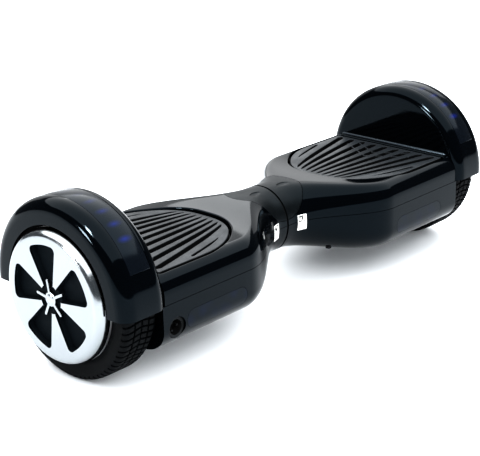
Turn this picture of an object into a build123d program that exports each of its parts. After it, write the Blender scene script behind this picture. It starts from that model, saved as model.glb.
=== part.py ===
from build123d import *
import os
from math import cos, radians, sin

# Self-balancing board with two 6.5 inch hub-motor wheels.
# Frame: X runs along the axle line, +Z is up, -Y is the front.
# The origin is on the floor under the swivel joint. All sizes are in millimetres.
# Every piece of the right-hand half is drawn at +X and mirrored for the left-hand half.

# ---- driving dimensions: wheels and fenders ----
TYRE_R = 85.0            # 6.5 inch wheel on its solid tyre
TYRE_WIDTH = 40.0
TYRE_SHOULDER = 7.0
TREAD_DEPTH = 2.2
TREAD_NOTCHES = 40
NOTCH_WIDTH = 3.0
NOTCH_LENGTH = 9.0       # across the tread, from each sidewall
GROOVE_WIDTH = 2.4
GROOVE_OFFSET = 5.0      # tread grooves, each side of the tyre's middle
RIM_R = 65.5             # bead seat under the tyre
FENDER_IN_X = 231.0      # inner skin of the fender: sets the length of the board
FENDER_WALL = 2.4
FENDER_IN_ROUND = 12.0
FENDER_OUT_ROUND = 14.0
TYRE_IN_GAP = 5.0        # fender's inner skin to the tyre
TYRE_OUT_GAP = 7.4       # tyre to the fender's outer skin
TREAD_GAP = 8.0          # tread to the fender's crest
FACE_PROUD = 14.4        # wheel face beyond the tyre
STAR_PROUD = 1.6         # star beyond the wheel face
HUB_OPENING_GAP = 3.0    # fender's opening round the wheel
STRIP_EDGE = 1.4         # strip's outer seam beyond the flat of the crest
STRIP_RISE = 37.0        # ends of the light strip above the axle
STRIP_BOARD_THICK = 1.2
STRIP_BOARD_EDGE = 2.0
LED_COUNT = 9
LED_SPREAD = 13.0        # degrees from one LED to the next
LED_SIZE = 5.0
LED_HEIGHT = 0.8

# ---- driving dimensions: body ----
PARTING_Z = 82.0         # seam between the upper and lower shells
NECK_R = 36.0
NECK_END_X = 1.2         # face of the neck beside the swivel joint
NECK_STRAIGHT_X = 8.0    # the flare starts here
FLARE_END_X = 115.0      # and reaches the full width here
BODY_HALF_WIDTH = 88.0
PLATFORM_Z = 110.0
BELLY_Z = 33.0
SHELL_WALL = 2.5
TOP_ROUND_Y = 16.0
TOP_ROUND_Z = 20.0
BELLY_ROUND_Y = 30.0
BELLY_ROUND_Z = 24.0
CAP_REACH = 39.0         # neck cap's end on top of the neck, from its middle
CAP_CENTRE_X = 4.0
CAP_CENTRE_DROP = 10.0   # middle of the ball that trims the cap, below the neck's top
CAP_START_X = 2.0
LOFT_STEP = 15.0         # longest run between two sections of the flare

# ---- driving dimensions: footpad ----
RECESS_DEPTH = 8.0
RECESS_FLOOR = 2.5
RECESS_TIP_X = 83.0
RECESS_TIP_HALF = 36.0
RECESS_TAPER = 50.0      # length of the slanted sides
RECESS_EDGE = 11.5       # platform left beside the recess
RECESS_TIP_ROUND = 60.0
RECESS_SIDE_ROUND = 84.0
RECESS_END_ROUND = 4.0
RECESS_GAP = 2.6         # dark groove all round the pad
PAD_BASE = 3.0
PAD_TRAVEL = 1.5
PAD_CLEARANCE = 0.5      # left under the pad when it is pressed
RIB_COUNT = 9
RIB_HEIGHT = 2.4
RIB_WIDTH = 7.2
RIB_LENGTH = 300.0       # before the mat's outline trims it
RIB_EDGE = 3.0           # plain edge of the mat
RIB_FAN = 17.0           # angle of the outermost rib
RIB_FAN_X = -20.0        # point from which the ribs spread
PLUNGER_R = 3.0
PLUNGER_PLACES = ((110, 30), (110, -30), (190, 30), (190, -30))

# ---- driving dimensions: lens, port, button ----
LENS_X = 162.0
LENS_Z = 58.5
LENS_LENGTH = 82.0
LENS_HEIGHT = 19.0
LENS_WALL = 2.0
LENS_CUT = 9.0           # window's depth into the flank
LENS_BOARD_DEPTH = 10.0  # board's face behind the flank
LENS_BOARD_THICK = 1.6
LENS_BOARD_HEIGHT = 14.0
LENS_RIB = 3.0
LENS_LEDS = 6
LENS_LED_PITCH = 11.0
LENS_LED_HEIGHT = 1.8
PORT_INSET = 15.0        # port's centre from the fender
PORT_Z = 56.0
PORT_R = 10.5
PORT_DEPTH = 20.0
PORT_RIM = 3.0
PORT_BORE_DEPTH = 11.0
PORT_SUNK = 2.5          # face of the socket behind the flank
PORT_PINS = 3
PORT_PIN_R = 1.2
PORT_PIN_INSET = 3.0     # pins from the bore's wall, and below the socket's face
BUTTON_INSET = 26.0      # button's centre from the fender
BUTTON_Z = 66.0
BUTTON_R = 6.0
BUTTON_PROUD = 2.0
BUTTON_ROUND = 0.8
BUTTON_TAIL = 4.0
BUTTON_FLANGE = 2.0      # width and thickness of the flange behind the flank

# ---- driving dimensions: chassis and swivel ----
PLATE_Z = 70.0           # underside of the chassis plate
PLATE_THICK = 4.0
PLATE_START_X = 82.0
PLATE_END_GAP = 5.0      # plate to the fender
PLATE_EDGE = 30.0        # plate to the flank
PLATE_ROUND = 10.0
NECK_PLATE_HALF = 30.0
NECK_PLATE_OVERLAP = 8.0     # into the wide plate
NECK_PLATE_REACH = 12.0      # over the swivel tube
FLANGE_WALL = 4.0
FLANGE_HEIGHT = 8.0
SHAFT_R = 17.0
SHAFT_WALL = 5.0
SHAFT_END_X = 52.0
BUSH_WALL = 3.0
TUBE_WALL = 8.0          # bearing tube of the chassis
TUBE_START_X = 1.8
TUBE_END_X = 46.0
SWIVEL_LIMIT = 10.0      # degrees each way
STOP_PIN_R = 2.0
STOP_PIN_INSET = 4.0     # pin's middle from the bush
STOP_PIN_SEAT = 8.0      # length held in the left-hand chassis
STOP_PIN_REACH = 5.0     # length standing in the slot of the right-hand chassis
STOP_SLOT_SPARE = 1.0    # degrees, and a third of the slot's spare depth
CIRCLIP_THICK = 1.6
CIRCLIP_WIDTH = 4.0
CIRCLIP_GROOVE = 1.2
CIRCLIP_OPENING = 8.0
GROMMET = 6.0
SEAL_TUBE_GAP = 1.5
SEAL_INSET = 1.6         # seal's outside below the neck's skin
CABLE_R = 4.0
CABLE_END_X = 64.0
PLUG_SIZE = 11.0
PLUG_HEIGHT = 8.0

# ---- driving dimensions: axle, motor and hub ----
AXLE_R = 8.0
AXLE_TAIL = 1.0          # beyond the axle block
AXLE_END_GAP = 0.4       # axle to the motor cover
AXLE_CHAMFER = 1.0
AXLE_BLOCK_LENGTH = 27.0
AXLE_BLOCK_HALF = 20.0
CLAMP_THICK = 3.0        # over the axle
BEARING_WIDTH = 9.0
BEARING_BODY = 9.5       # bearing's outside beyond its bore
BEARING_PROUD = 0.4
BEARING_END_GAP = 0.2
BEARING_SEAT_WALL = 4.0
CUP_WALL = 3.0
CUP_INSET = 1.0          # hub's back inside the tyre's sidewall
CUP_RIM = 7.5            # hub's wall under the tyre
MAGNET_THICK = 3.0
MAGNET_COUNT = 30
MAGNET_SPLIT = 1.2
MAGNET_OVERHANG = 1.0
AIR_GAP = 1.0            # stator to magnets
STATOR_INSET = 12.0      # stator behind the tyre's inner sidewall
STATOR_WIDTH = 18.0
STATOR_HUB_R = 34.0
STATOR_TEETH = 18
SLOT_WIDTH = 5.5
SLOT_MOUTH = 2.0
SLOT_MARGIN = 4.0
LIGHTENING_HOLES = 6
LIGHTENING_R = 6.0
COVER_GAP = 1.4          # motor cover's back to the hub
FACE_THICK = 2.4
POCKET_DEPTH = 6.0
RING_EDGE = 4.0          # plain rim of the wheel face beside the tyre
SHOULDER_ROUND = 7.0     # rounding from the rim to the wheel face
WINDOW_COUNT = 5
WINDOW_EDGE = 12.5       # windows to the rim
WINDOW_HALF_ANGLE = 21.3
WINDOW_THROAT_R = 13.0
WINDOW_THROAT_HALF = 6.6
WINDOW_ROUND = 4.0
HUB_CENTRE_R = 13.6      # open middle of the wheel face
WINDOW_PHASE = 27.5      # angle of the first window above the front horizontal
STAR_R = 7.0
STAR_RAY_R = 19.5
STAR_RAY_WIDTH = 3.0

# ---- driving dimensions: electronics and labels ----
PCB_THICK = 1.6
PCB_DROP = 12.0          # main board below the chassis plate
PCB_LENGTH = 104.0
PCB_WIDTH = 84.0
PCB_POST_R = 3.0
PCB_POST_INSET = 5.0
CAPACITOR_R = 7.0
CAPACITOR_HEIGHT = 14.0
CAPACITOR_PLACES = ((30, 20), (10, 20))
CHIP_HEIGHT = 8.0
TRANSISTOR_ROW = (-12, -22)
TRANSISTOR_COUNT = 6
TRANSISTOR_SIZE = (9, 5)
CONNECTOR_ROW = (-32, 18)
CONNECTOR_COUNT = 2
CONNECTOR_SIZE = (14, 9)
BATTERY_LENGTH = 112.0
BATTERY_WIDTH = 86.0
BATTERY_X = 171.0
BATTERY_ROUND = 6.0
SENSOR_X = 150.0
SENSOR_LENGTH = 92.0
SENSOR_WIDTH = 72.0
SENSOR_LIFT = 3.0        # sensor board above the chassis plate
SENSOR_HEIGHT = 15.0     # optical switches above the chassis plate
SENSOR_POSTS = (40, 14)
SWITCH_SIZE = (11, 8)
LABEL_X = 14.0
LABEL_LENGTH = 13.0
LABEL_HEIGHT = 20.0
LABEL_DROP = 1.5         # centre of the label below the seam
LABEL_THICK = 0.25
LABEL_LIFT = 0.05        # glue line under the label

# ---- clearances ----
FIT = 0.3                # between parts that sit in each other
RUNNING = 0.05           # radial, on shafts
PLUNGER_FIT = 0.4
SEAM = 0.3               # shadow gap on show
AXLE_HOLE_GAP = 8.0      # round the bearings, in the shells and the fender
STRIP_BOARD_GAP = 0.5
CIRCLIP_ROOM = 2.0

# ---- fasteners ----
BOSS_R = 4.5
SCREW_R = 1.5
SCREW_HEAD_R = 3.2
SCREW_HEAD = 2.2
SCREW_SEAT_Z = 42.0
SCREW_END_Z = 94.0
BOLT_R = 2.5
BOLT_HEAD_R = 4.2
BOLT_HEAD = 2.4
BOLT_GRIP = 10.0         # depth of the tapped holes
CLAMP_BOLT_INSET = 7.0
CLAMP_BOLT_HALF = 14.0
OVERCUT = 1.0            # cutting tools run this far past a face

# ---- places that follow from them ----
AXLE_Z = TYRE_R
PIVOT_Z = PARTING_Z      # axis of the swivel between the halves
TYRE_IN_X = FENDER_IN_X + TYRE_IN_GAP
TYRE_OUT_X = TYRE_IN_X + TYRE_WIDTH
TYRE_MID_X = TYRE_IN_X + TYRE_WIDTH / 2
FENDER_R = TYRE_R + TREAD_GAP
FENDER_IN_R = FENDER_R - FENDER_WALL
FENDER_OUT_X = TYRE_OUT_X + TYRE_OUT_GAP
HUB_OPENING_R = RIM_R + HUB_OPENING_GAP
STRIP_IN_X = FENDER_IN_X + FENDER_IN_ROUND
STRIP_OUT_X = FENDER_OUT_X - FENDER_OUT_ROUND - STRIP_EDGE
STRIP_END_Z = AXLE_Z + STRIP_RISE
UPPER_END_X = FENDER_IN_X - SEAM
LOWER_END_X = FENDER_IN_X + FENDER_WALL
LOWER_TOP_Z = PARTING_Z - SEAM
CAP_BALL_R = (CAP_REACH ** 2 + CAP_CENTRE_DROP ** 2) ** 0.5
CAP_BALL_Z = PIVOT_Z + NECK_R - CAP_CENTRE_DROP
RECESS_HALF = BODY_HALF_WIDTH - RECESS_EDGE
RECESS_Z = PLATFORM_Z - RECESS_DEPTH
PAN_TOP = PLATFORM_Z - SHELL_WALL
PAD_Z = RECESS_Z + PAD_TRAVEL + PAD_CLEARANCE
LENS_BOARD_Y = BODY_HALF_WIDTH - LENS_BOARD_DEPTH
PORT_X = FENDER_IN_X - PORT_INSET
PORT_FACE_Y = BODY_HALF_WIDTH - PORT_SUNK
PORT_BORE_R = PORT_R - PORT_RIM
BUTTON_X = FENDER_IN_X - BUTTON_INSET
BUTTON_FACE_Y = BODY_HALF_WIDTH + BUTTON_PROUD
PLATE_TOP = PLATE_Z + PLATE_THICK
PLATE_END_X = FENDER_IN_X - PLATE_END_GAP
PLATE_HALF = BODY_HALF_WIDTH - PLATE_EDGE
PLATE_LENGTH = PLATE_END_X - PLATE_START_X
PLATE_MID_X = (PLATE_END_X + PLATE_START_X) / 2
SENSOR_TOP = PLATE_TOP + SENSOR_HEIGHT
PLUNGER_LOW = SENSOR_TOP + PAD_TRAVEL + PAD_CLEARANCE
SHAFT_BORE_R = SHAFT_R - SHAFT_WALL
BUSH_R = SHAFT_R + BUSH_WALL
TUBE_R = BUSH_R + TUBE_WALL
STOP_PIN_AT_R = BUSH_R + STOP_PIN_INSET
CIRCLIP_R = SHAFT_R + CIRCLIP_WIDTH
CIRCLIP_GROOVE_R = SHAFT_R - CIRCLIP_GROOVE
SEAL_IN_R = TUBE_R + SEAL_TUBE_GAP
SEAL_OUT_R = NECK_R - SEAL_INSET
BEARING_R = AXLE_R + BEARING_BODY
WHEEL_HOLE_R = BEARING_R + AXLE_HOLE_GAP
CUP_X = TYRE_IN_X + CUP_INSET
CUP_END_X = TYRE_OUT_X
COVER_X = CUP_END_X + COVER_GAP      # inner plane of the black motor cover
BEARING_IN_X = CUP_X - BEARING_PROUD
BEARING_OUT_X = COVER_X - BEARING_END_GAP - BEARING_WIDTH
AXLE_BLOCK_X = PLATE_END_X - AXLE_BLOCK_LENGTH
AXLE_START_X = AXLE_BLOCK_X - AXLE_TAIL
AXLE_END_X = COVER_X - AXLE_END_GAP
MAGNET_OUT_R = RIM_R - CUP_RIM
MAGNET_R = MAGNET_OUT_R - MAGNET_THICK
STATOR_R = MAGNET_R - AIR_GAP
STATOR_X = TYRE_IN_X + STATOR_INSET
FACE_X = TYRE_OUT_X + FACE_PROUD         # outer plane of the wheel face
COVER_TOP_X = FACE_X - FACE_THICK        # motor cover's highest plane, under the spokes
STAR_TOP_X = FACE_X + STAR_PROUD
SHOULDER_X = CUP_END_X + RING_EDGE
SHOULDER_START_R = RIM_R - SHOULDER_ROUND
WINDOW_OUT_R = RIM_R - WINDOW_EDGE
GROOVE_PLACES = (TYRE_MID_X - GROOVE_OFFSET, TYRE_MID_X + GROOVE_OFFSET)
NECK_SCREWS = ((62, 40), (62, -40))
PAD_SCREW_Y = PLATE_HALF + 6
PAD_SCREWS = [(x, y) for x in (RECESS_TIP_X + 45, PLATE_END_X - 30) for y in (PAD_SCREW_Y, -PAD_SCREW_Y)]
SCREW_PLACES = list(NECK_SCREWS) + PAD_SCREWS
POST_Y = PLATE_HALF - 10
POST_PLACES = [(x, y) for x in (PLATE_START_X + 18, PLATE_END_X - 34) for y in (POST_Y, -POST_Y)]

ALONG_X = (1, 0, 0)


def smooth(x):
    """Ease from 0 at the neck to 1 where the body reaches its full width."""
    t = min(max((x - NECK_STRAIGHT_X) / (FLARE_END_X - NECK_STRAIGHT_X), 0.0), 1.0)
    return t * t * (3 - 2 * t)


def between(neck, body, x):
    return neck + (body - neck) * smooth(x)


def arch_sizes(x, upper, inset):
    """Half-width, crown level and corner radii of half a body section at x."""
    corner = NECK_R - 0.5
    half = between(NECK_R, BODY_HALF_WIDTH, x) - inset
    if upper:
        crown = between(PIVOT_Z + NECK_R, PLATFORM_Z, x) - inset
        round_y = between(corner, TOP_ROUND_Y, x) - inset
        round_z = between(corner, TOP_ROUND_Z, x) - inset
    else:
        crown = between(PIVOT_Z - NECK_R, BELLY_Z, x) + inset
        round_y = between(corner, BELLY_ROUND_Y, x) - inset
        round_z = between(corner, BELLY_ROUND_Z, x) - inset
    return half, crown, round_y, round_z


def arch(x, upper, inset, base_z):
    """Open outline of half a section, from its base on one side to its base on the other."""
    half, crown, round_y, round_z = arch_sizes(x, upper, inset)
    turn = 1 if upper else -1
    spring = crown - turn * round_z
    right_start = 0 if upper else 270
    left_start = 90 if upper else 180
    with BuildLine() as outline:
        Line((half, base_z), (half, spring))
        EllipticalCenterArc((half - round_y, spring), round_y, round_z, right_start, arc_size=90)
        Line((half - round_y, crown), (round_y - half, crown))
        EllipticalCenterArc((round_y - half, spring), round_y, round_z, left_start, arc_size=90)
        Line((-half, spring), (-half, base_z))
    return outline.line


def skin_section(x, upper, outer=0.0, inner=SHELL_WALL, base_z=PARTING_Z):
    """Section of the thin shell between two insets."""
    outer_half = arch_sizes(x, upper, outer)[0]
    inner_half = arch_sizes(x, upper, inner)[0]
    with BuildSketch(Plane.YZ.offset(x)) as profile:
        with BuildLine():
            add(arch(x, upper, outer, base_z))
            add(arch(x, upper, inner, base_z))
            Line((outer_half, base_z), (inner_half, base_z))
            Line((-outer_half, base_z), (-inner_half, base_z))
        make_face()
    return profile.sketch


def filled_section(x, upper, inset=0.0, base_z=PARTING_Z):
    half = arch_sizes(x, upper, inset)[0]
    with BuildSketch(Plane.YZ.offset(x)) as profile:
        with BuildLine():
            add(arch(x, upper, inset, base_z))
            Line((half, base_z), (-half, base_z))
        make_face()
    return profile.sketch


def skin(upper, start_x, end_x, outer=0.0, inner=SHELL_WALL, base_z=PARTING_Z):
    """Thin shell: lofted along the flare, straight from there to its end."""
    flare_end = min(end_x, FLARE_END_X)
    steps = max(2, round((flare_end - start_x) / LOFT_STEP))
    stations = [start_x + (flare_end - start_x) * step / steps for step in range(steps + 1)]
    with BuildPart() as shell:
        loft([skin_section(x, upper, outer, inner, base_z).face() for x in stations])
        if end_x > FLARE_END_X:
            extrude(skin_section(FLARE_END_X, upper, outer, inner, base_z),
                    amount=end_x - FLARE_END_X, dir=ALONG_X)
    return shell.part


def end_wall(upper, end_x, base_z=PARTING_Z):
    """Flat wall that closes a shell beside the wheel, with a hole for the axle."""
    with BuildPart() as wall:
        extrude(filled_section(end_x - SHELL_WALL, upper, SHELL_WALL / 2, base_z),
                amount=SHELL_WALL, dir=ALONG_X)
        add(rod_on_x(end_x - 2 * SHELL_WALL, 3 * SHELL_WALL, WHEEL_HOLE_R, AXLE_Z),
            mode=Mode.SUBTRACT)
    return wall.part


def skin_z(x, y, upper):
    """Level of the outer skin over or under the point (x, y)."""
    half, crown, round_y, round_z = arch_sizes(x, upper, 0)
    into_round = max(abs(y) - (half - round_y), 0.0) / round_y
    drop = round_z * (1 - (1 - into_round ** 2) ** 0.5)
    return crown - drop if upper else crown + drop


def ring_on_x(x, length, outer_r, inner_r, z):
    """A plain ring about an axis parallel to X."""
    with BuildPart() as ring:
        with BuildSketch(Plane.YZ.offset(x)):
            with Locations((0, z)):
                Circle(outer_r)
                Circle(inner_r, mode=Mode.SUBTRACT)
        extrude(amount=length)
    return ring.part


def rod_on_x(x, length, radius, z, y=0.0):
    with BuildPart() as rod:
        with BuildSketch(Plane.YZ.offset(x)):
            with Locations((y, z)):
                Circle(radius)
        extrude(amount=length)
    return rod.part


def posts(places, radius, low, high):
    """Upright round posts, as one group."""
    with BuildPart() as group:
        with BuildSketch(Plane.XY.offset(low)):
            with Locations(*places):
                Circle(radius)
        extrude(amount=high - low)
    return group.part


def belly_posts(places, radius, high):
    """Upright posts that start inside the lower shell's wall."""
    with BuildPart() as group:
        for x, y in places:
            add(posts([(x, y)], radius, skin_z(x, y, False) + SHELL_WALL / 2, high))
    return group.part


def save(piece, name):
    piece.part.label = name
    export_step(piece.part, "parts/" + name + ".step")


def save_pair(piece, name):
    """Write the right-hand piece and its mirror image on the left."""
    save(piece, "right_" + name)
    with BuildPart() as other_hand:
        mirror(piece.part, about=Plane.YZ)
    save(other_hand, "left_" + name)


os.makedirs("parts", exist_ok=True)

BLOCK = 600.0            # larger than the whole board, for halving pieces


def half_space(z, above):
    """A block that fills everything above, or below, a level."""
    with BuildPart() as space:
        with BuildSketch(Plane.XY.offset(z)):
            Rectangle(BLOCK * 2, BLOCK * 2)
        extrude(amount=BLOCK if above else -BLOCK)
    return space.part


def recess_outline(inset=0.0):
    """Plan outline of the footpad recess, drawn inset from its rim."""
    end_x = UPPER_END_X - 2 * SHELL_WALL - inset
    half = RECESS_HALF - inset
    tip_x = RECESS_TIP_X + inset
    tip = RECESS_TIP_HALF - inset / 2
    corner_x = RECESS_TIP_X + RECESS_TAPER + inset / 2
    points = [
        (tip_x, -tip), (corner_x, -half), (end_x, -half),
        (end_x, half), (corner_x, half), (tip_x, tip),
    ]
    rounds = [RECESS_TIP_ROUND, RECESS_SIDE_ROUND, RECESS_END_ROUND]
    with BuildSketch(Plane.XY) as outline:
        with BuildLine():
            FilletPolyline(*points, radius=rounds + rounds[::-1], close=True)
        make_face()
    return outline.sketch


def recess_block(inset, low, high):
    with BuildPart() as block:
        with BuildSketch(Plane.XY.offset(low)):
            add(recess_outline(inset))
        extrude(amount=high - low)
    return block.part


# ---- neck cap: the thin cover over the upper half of the neck ----
with BuildPart() as neck_cap:
    add(skin(True, CAP_START_X, CAP_CENTRE_X + CAP_REACH + OVERCUT))
    with Locations((CAP_CENTRE_X, 0, CAP_BALL_Z)):
        Sphere(CAP_BALL_R, mode=Mode.INTERSECT)
save_pair(neck_cap, "neck_cap")

# ---- upper shell ----
with BuildPart() as upper_shell:
    add(skin(True, NECK_END_X, UPPER_END_X))
    add(end_wall(True, UPPER_END_X))
    add(recess_block(-SHELL_WALL, RECESS_Z - RECESS_FLOOR, PAN_TOP))
    add(posts(PAD_SCREWS, BOSS_R, PARTING_Z, RECESS_Z - RECESS_FLOOR / 2))
    for x, y in NECK_SCREWS:
        add(posts([(x, y)], BOSS_R, PARTING_Z, skin_z(x, y, True) - SHELL_WALL / 2))
    add(recess_block(0, RECESS_Z, PIVOT_Z + NECK_R), mode=Mode.SUBTRACT)
    with Locations((CAP_CENTRE_X, 0, CAP_BALL_Z)):
        Sphere(CAP_BALL_R + SEAM, mode=Mode.SUBTRACT)
    add(posts(PLUNGER_PLACES, PLUNGER_R + PLUNGER_FIT, RECESS_Z - 2 * RECESS_FLOOR, RECESS_Z + OVERCUT),
        mode=Mode.SUBTRACT)
    add(posts(SCREW_PLACES, SCREW_R, PARTING_Z, SCREW_END_Z), mode=Mode.SUBTRACT)
save_pair(upper_shell, "upper_shell")

# ---- headlight window, shared by the lens and the lower shell ----
def lens_block(clearance, depth_in):
    """Slot-shaped block through the front flank of the lower shell."""
    with BuildPart() as block:
        with BuildSketch(Plane.XZ.offset(BODY_HALF_WIDTH - depth_in)):
            with Locations((LENS_X, LENS_Z)):
                SlotOverall(LENS_LENGTH + 2 * clearance, LENS_HEIGHT + 2 * clearance)
        extrude(amount=depth_in + OVERCUT)
    return block.part


with BuildPart() as headlight_lens:
    extrude(skin_section(FLARE_END_X, False, 0, LENS_WALL), amount=LENS_LENGTH * 1.5, dir=ALONG_X)
    add(lens_block(0, LENS_HEIGHT), mode=Mode.INTERSECT)
save_pair(headlight_lens, "headlight_lens")

LENS_BOARD_LENGTH = LENS_LENGTH + 2
with BuildPart() as headlight_board:
    with BuildSketch(Plane.XZ.offset(LENS_BOARD_Y)):
        with Locations((LENS_X, LENS_Z)):
            Rectangle(LENS_BOARD_LENGTH, LENS_BOARD_HEIGHT)
    extrude(amount=-LENS_BOARD_THICK)
    with BuildSketch(Plane.XZ.offset(LENS_BOARD_Y)):
        with Locations((LENS_X, LENS_Z)):
            with GridLocations(LENS_LED_PITCH, 1, LENS_LEDS, 1):
                Rectangle(LED_SIZE, LED_SIZE)
    extrude(amount=LENS_LED_HEIGHT)
save_pair(headlight_board, "headlight_board")

# ---- lower shell: common to both halves ----
with BuildPart() as lens_ribs:
    with BuildSketch(Plane.XZ.offset(LENS_BOARD_Y - LENS_BOARD_THICK)):
        for edge in (-1, 1):
            with Locations((LENS_X + edge * (LENS_BOARD_LENGTH + LENS_RIB) / 2, LENS_Z)):
                Rectangle(LENS_RIB, LENS_BOARD_HEIGHT)
    extrude(amount=BODY_HALF_WIDTH - LENS_BOARD_Y - SHELL_WALL / 2 + LENS_BOARD_THICK)

with BuildPart() as lower_common:
    add(skin(False, NECK_END_X, LOWER_END_X, base_z=LOWER_TOP_Z))
    add(end_wall(False, LOWER_END_X, base_z=LOWER_TOP_Z))
    add(belly_posts(SCREW_PLACES, BOSS_R, LOWER_TOP_Z))
    add(belly_posts(POST_PLACES, BOSS_R, PLATE_Z))
    add(lens_ribs.part)
    add(lens_block(FIT, LENS_CUT), mode=Mode.SUBTRACT)
    add(posts(SCREW_PLACES, SCREW_R + FIT, BELLY_Z - OVERCUT, PARTING_Z), mode=Mode.SUBTRACT)
    add(posts(SCREW_PLACES, SCREW_HEAD_R + FIT, BELLY_Z - OVERCUT, SCREW_SEAT_Z), mode=Mode.SUBTRACT)
    add(posts(POST_PLACES, BOLT_R, PLATE_Z - BOLT_GRIP, PLATE_Z + OVERCUT), mode=Mode.SUBTRACT)

with BuildPart() as right_lower_shell:
    add(lower_common.part)
    with BuildSketch(Plane.XZ.offset(-BUTTON_FACE_Y)):
        with Locations((BUTTON_X, BUTTON_Z)):
            Circle(BUTTON_R + FIT)
    extrude(amount=3 * SHELL_WALL, mode=Mode.SUBTRACT)
save(right_lower_shell, "right_lower_shell")

with BuildPart() as left_lower_shell:
    mirror(lower_common.part, about=Plane.YZ)
    with BuildSketch(Plane.XZ.offset(BODY_HALF_WIDTH + OVERCUT)):
        with Locations((-PORT_X, PORT_Z)):
            Circle(PORT_R + FIT)
    extrude(amount=-PORT_DEPTH, mode=Mode.SUBTRACT)
save(left_lower_shell, "left_lower_shell")

with BuildPart() as charge_socket:
    with BuildSketch(Plane.XZ.offset(PORT_FACE_Y)):
        with Locations((-PORT_X, PORT_Z)):
            Circle(PORT_R)
    extrude(amount=-PORT_DEPTH)
    with BuildSketch(Plane.XZ.offset(PORT_FACE_Y)):
        with Locations((-PORT_X, PORT_Z)):
            Circle(PORT_BORE_R)
    extrude(amount=-PORT_BORE_DEPTH, mode=Mode.SUBTRACT)
    with BuildSketch(Plane.XZ.offset(PORT_FACE_Y - PORT_BORE_DEPTH)):
        with Locations((-PORT_X, PORT_Z)):
            with PolarLocations(PORT_BORE_R - PORT_PIN_INSET, PORT_PINS):
                Circle(PORT_PIN_R)
    extrude(amount=PORT_BORE_DEPTH - PORT_PIN_INSET)
save(charge_socket, "charge_socket")

with BuildPart() as power_button:
    with BuildSketch(Plane.XZ.offset(-BUTTON_FACE_Y)):
        with Locations((BUTTON_X, BUTTON_Z)):
            Circle(BUTTON_R)
    extrude(amount=BUTTON_PROUD + SHELL_WALL + FIT + BUTTON_TAIL)
    fillet(power_button.edges().sort_by(Axis.Y)[-1], BUTTON_ROUND)
    with BuildSketch(Plane.XZ.offset(-BODY_HALF_WIDTH + SHELL_WALL + FIT)):
        with Locations((BUTTON_X, BUTTON_Z)):
            Circle(BUTTON_R + BUTTON_FLANGE)
    extrude(amount=BUTTON_FLANGE)
save(power_button, "power_button")

# ---- fender: a channel over the upper half of the wheel ----
AXLE_LINE = Axis((0, 0, AXLE_Z), ALONG_X)


def channel_solid(inset):
    """The filled fender shape, inset from its outer skin."""
    in_x = FENDER_IN_X + inset
    out_x = FENDER_OUT_X - inset
    top = AXLE_Z + FENDER_R - inset
    in_round = FENDER_IN_ROUND - inset
    out_round = FENDER_OUT_ROUND - inset
    with BuildPart() as solid:
        with BuildSketch(Plane.XZ):
            with BuildLine():
                Line((in_x, AXLE_Z), (in_x, top - in_round))
                TangentArc((in_x, top - in_round), (in_x + in_round, top), tangent=(0, 1))
                Line((in_x + in_round, top), (out_x - out_round, top))
                TangentArc((out_x - out_round, top), (out_x, top - out_round), tangent=(1, 0))
                Line((out_x, top - out_round), (out_x, AXLE_Z))
                Line((out_x, AXLE_Z), (in_x, AXLE_Z))
            make_face()
        revolve(axis=AXLE_LINE)
    return solid.part


def crest_band(outer_r, inner_r, clearance):
    """Arc of a ring between the two crest seams, above the ends of the light strip."""
    width = STRIP_OUT_X - STRIP_IN_X + 2 * clearance
    with BuildPart() as band:
        add(ring_on_x(STRIP_IN_X - clearance, width, outer_r, inner_r, AXLE_Z))
        add(half_space(STRIP_END_Z - clearance, above=True), mode=Mode.INTERSECT)
    return band.part


with BuildPart() as fender:
    add(channel_solid(0))
    add(channel_solid(FENDER_WALL), mode=Mode.SUBTRACT)
    add(half_space(PARTING_Z, above=True), mode=Mode.INTERSECT)
    add(rod_on_x(FENDER_IN_X - OVERCUT, FENDER_WALL + 2 * OVERCUT, WHEEL_HOLE_R, AXLE_Z),
        mode=Mode.SUBTRACT)
    add(rod_on_x(FENDER_OUT_X - 2 * FENDER_WALL, 3 * FENDER_WALL, HUB_OPENING_R, AXLE_Z),
        mode=Mode.SUBTRACT)
    add(crest_band(FENDER_R + OVERCUT, FENDER_IN_R - OVERCUT, 0), mode=Mode.SUBTRACT)
save_pair(fender, "fender")

with BuildPart() as light_strip:
    add(crest_band(FENDER_R, FENDER_IN_R, -SEAM))
save_pair(light_strip, "light_strip")

# The LED strip lies against the underside of the smoked cover.
BOARD_OUT_R = FENDER_IN_R - STRIP_BOARD_GAP
LED_SEAT_R = BOARD_OUT_R - STRIP_BOARD_GAP
with BuildPart() as strip_board:
    add(crest_band(BOARD_OUT_R, BOARD_OUT_R - STRIP_BOARD_THICK, -STRIP_BOARD_EDGE))
    for led in range(LED_COUNT):
        angle = 90 + LED_SPREAD * (led - (LED_COUNT - 1) / 2)
        led_y = LED_SEAT_R * cos(radians(angle))
        led_z = AXLE_Z + LED_SEAT_R * sin(radians(angle))
        led_plane = Plane(origin=((STRIP_IN_X + STRIP_OUT_X) / 2, led_y, led_z),
                          x_dir=ALONG_X, z_dir=(0, cos(radians(angle)), sin(radians(angle))))
        with BuildSketch(led_plane):
            Rectangle(LED_SIZE, LED_SIZE)
        extrude(amount=LED_HEIGHT)
save_pair(strip_board, "strip_board")

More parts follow.
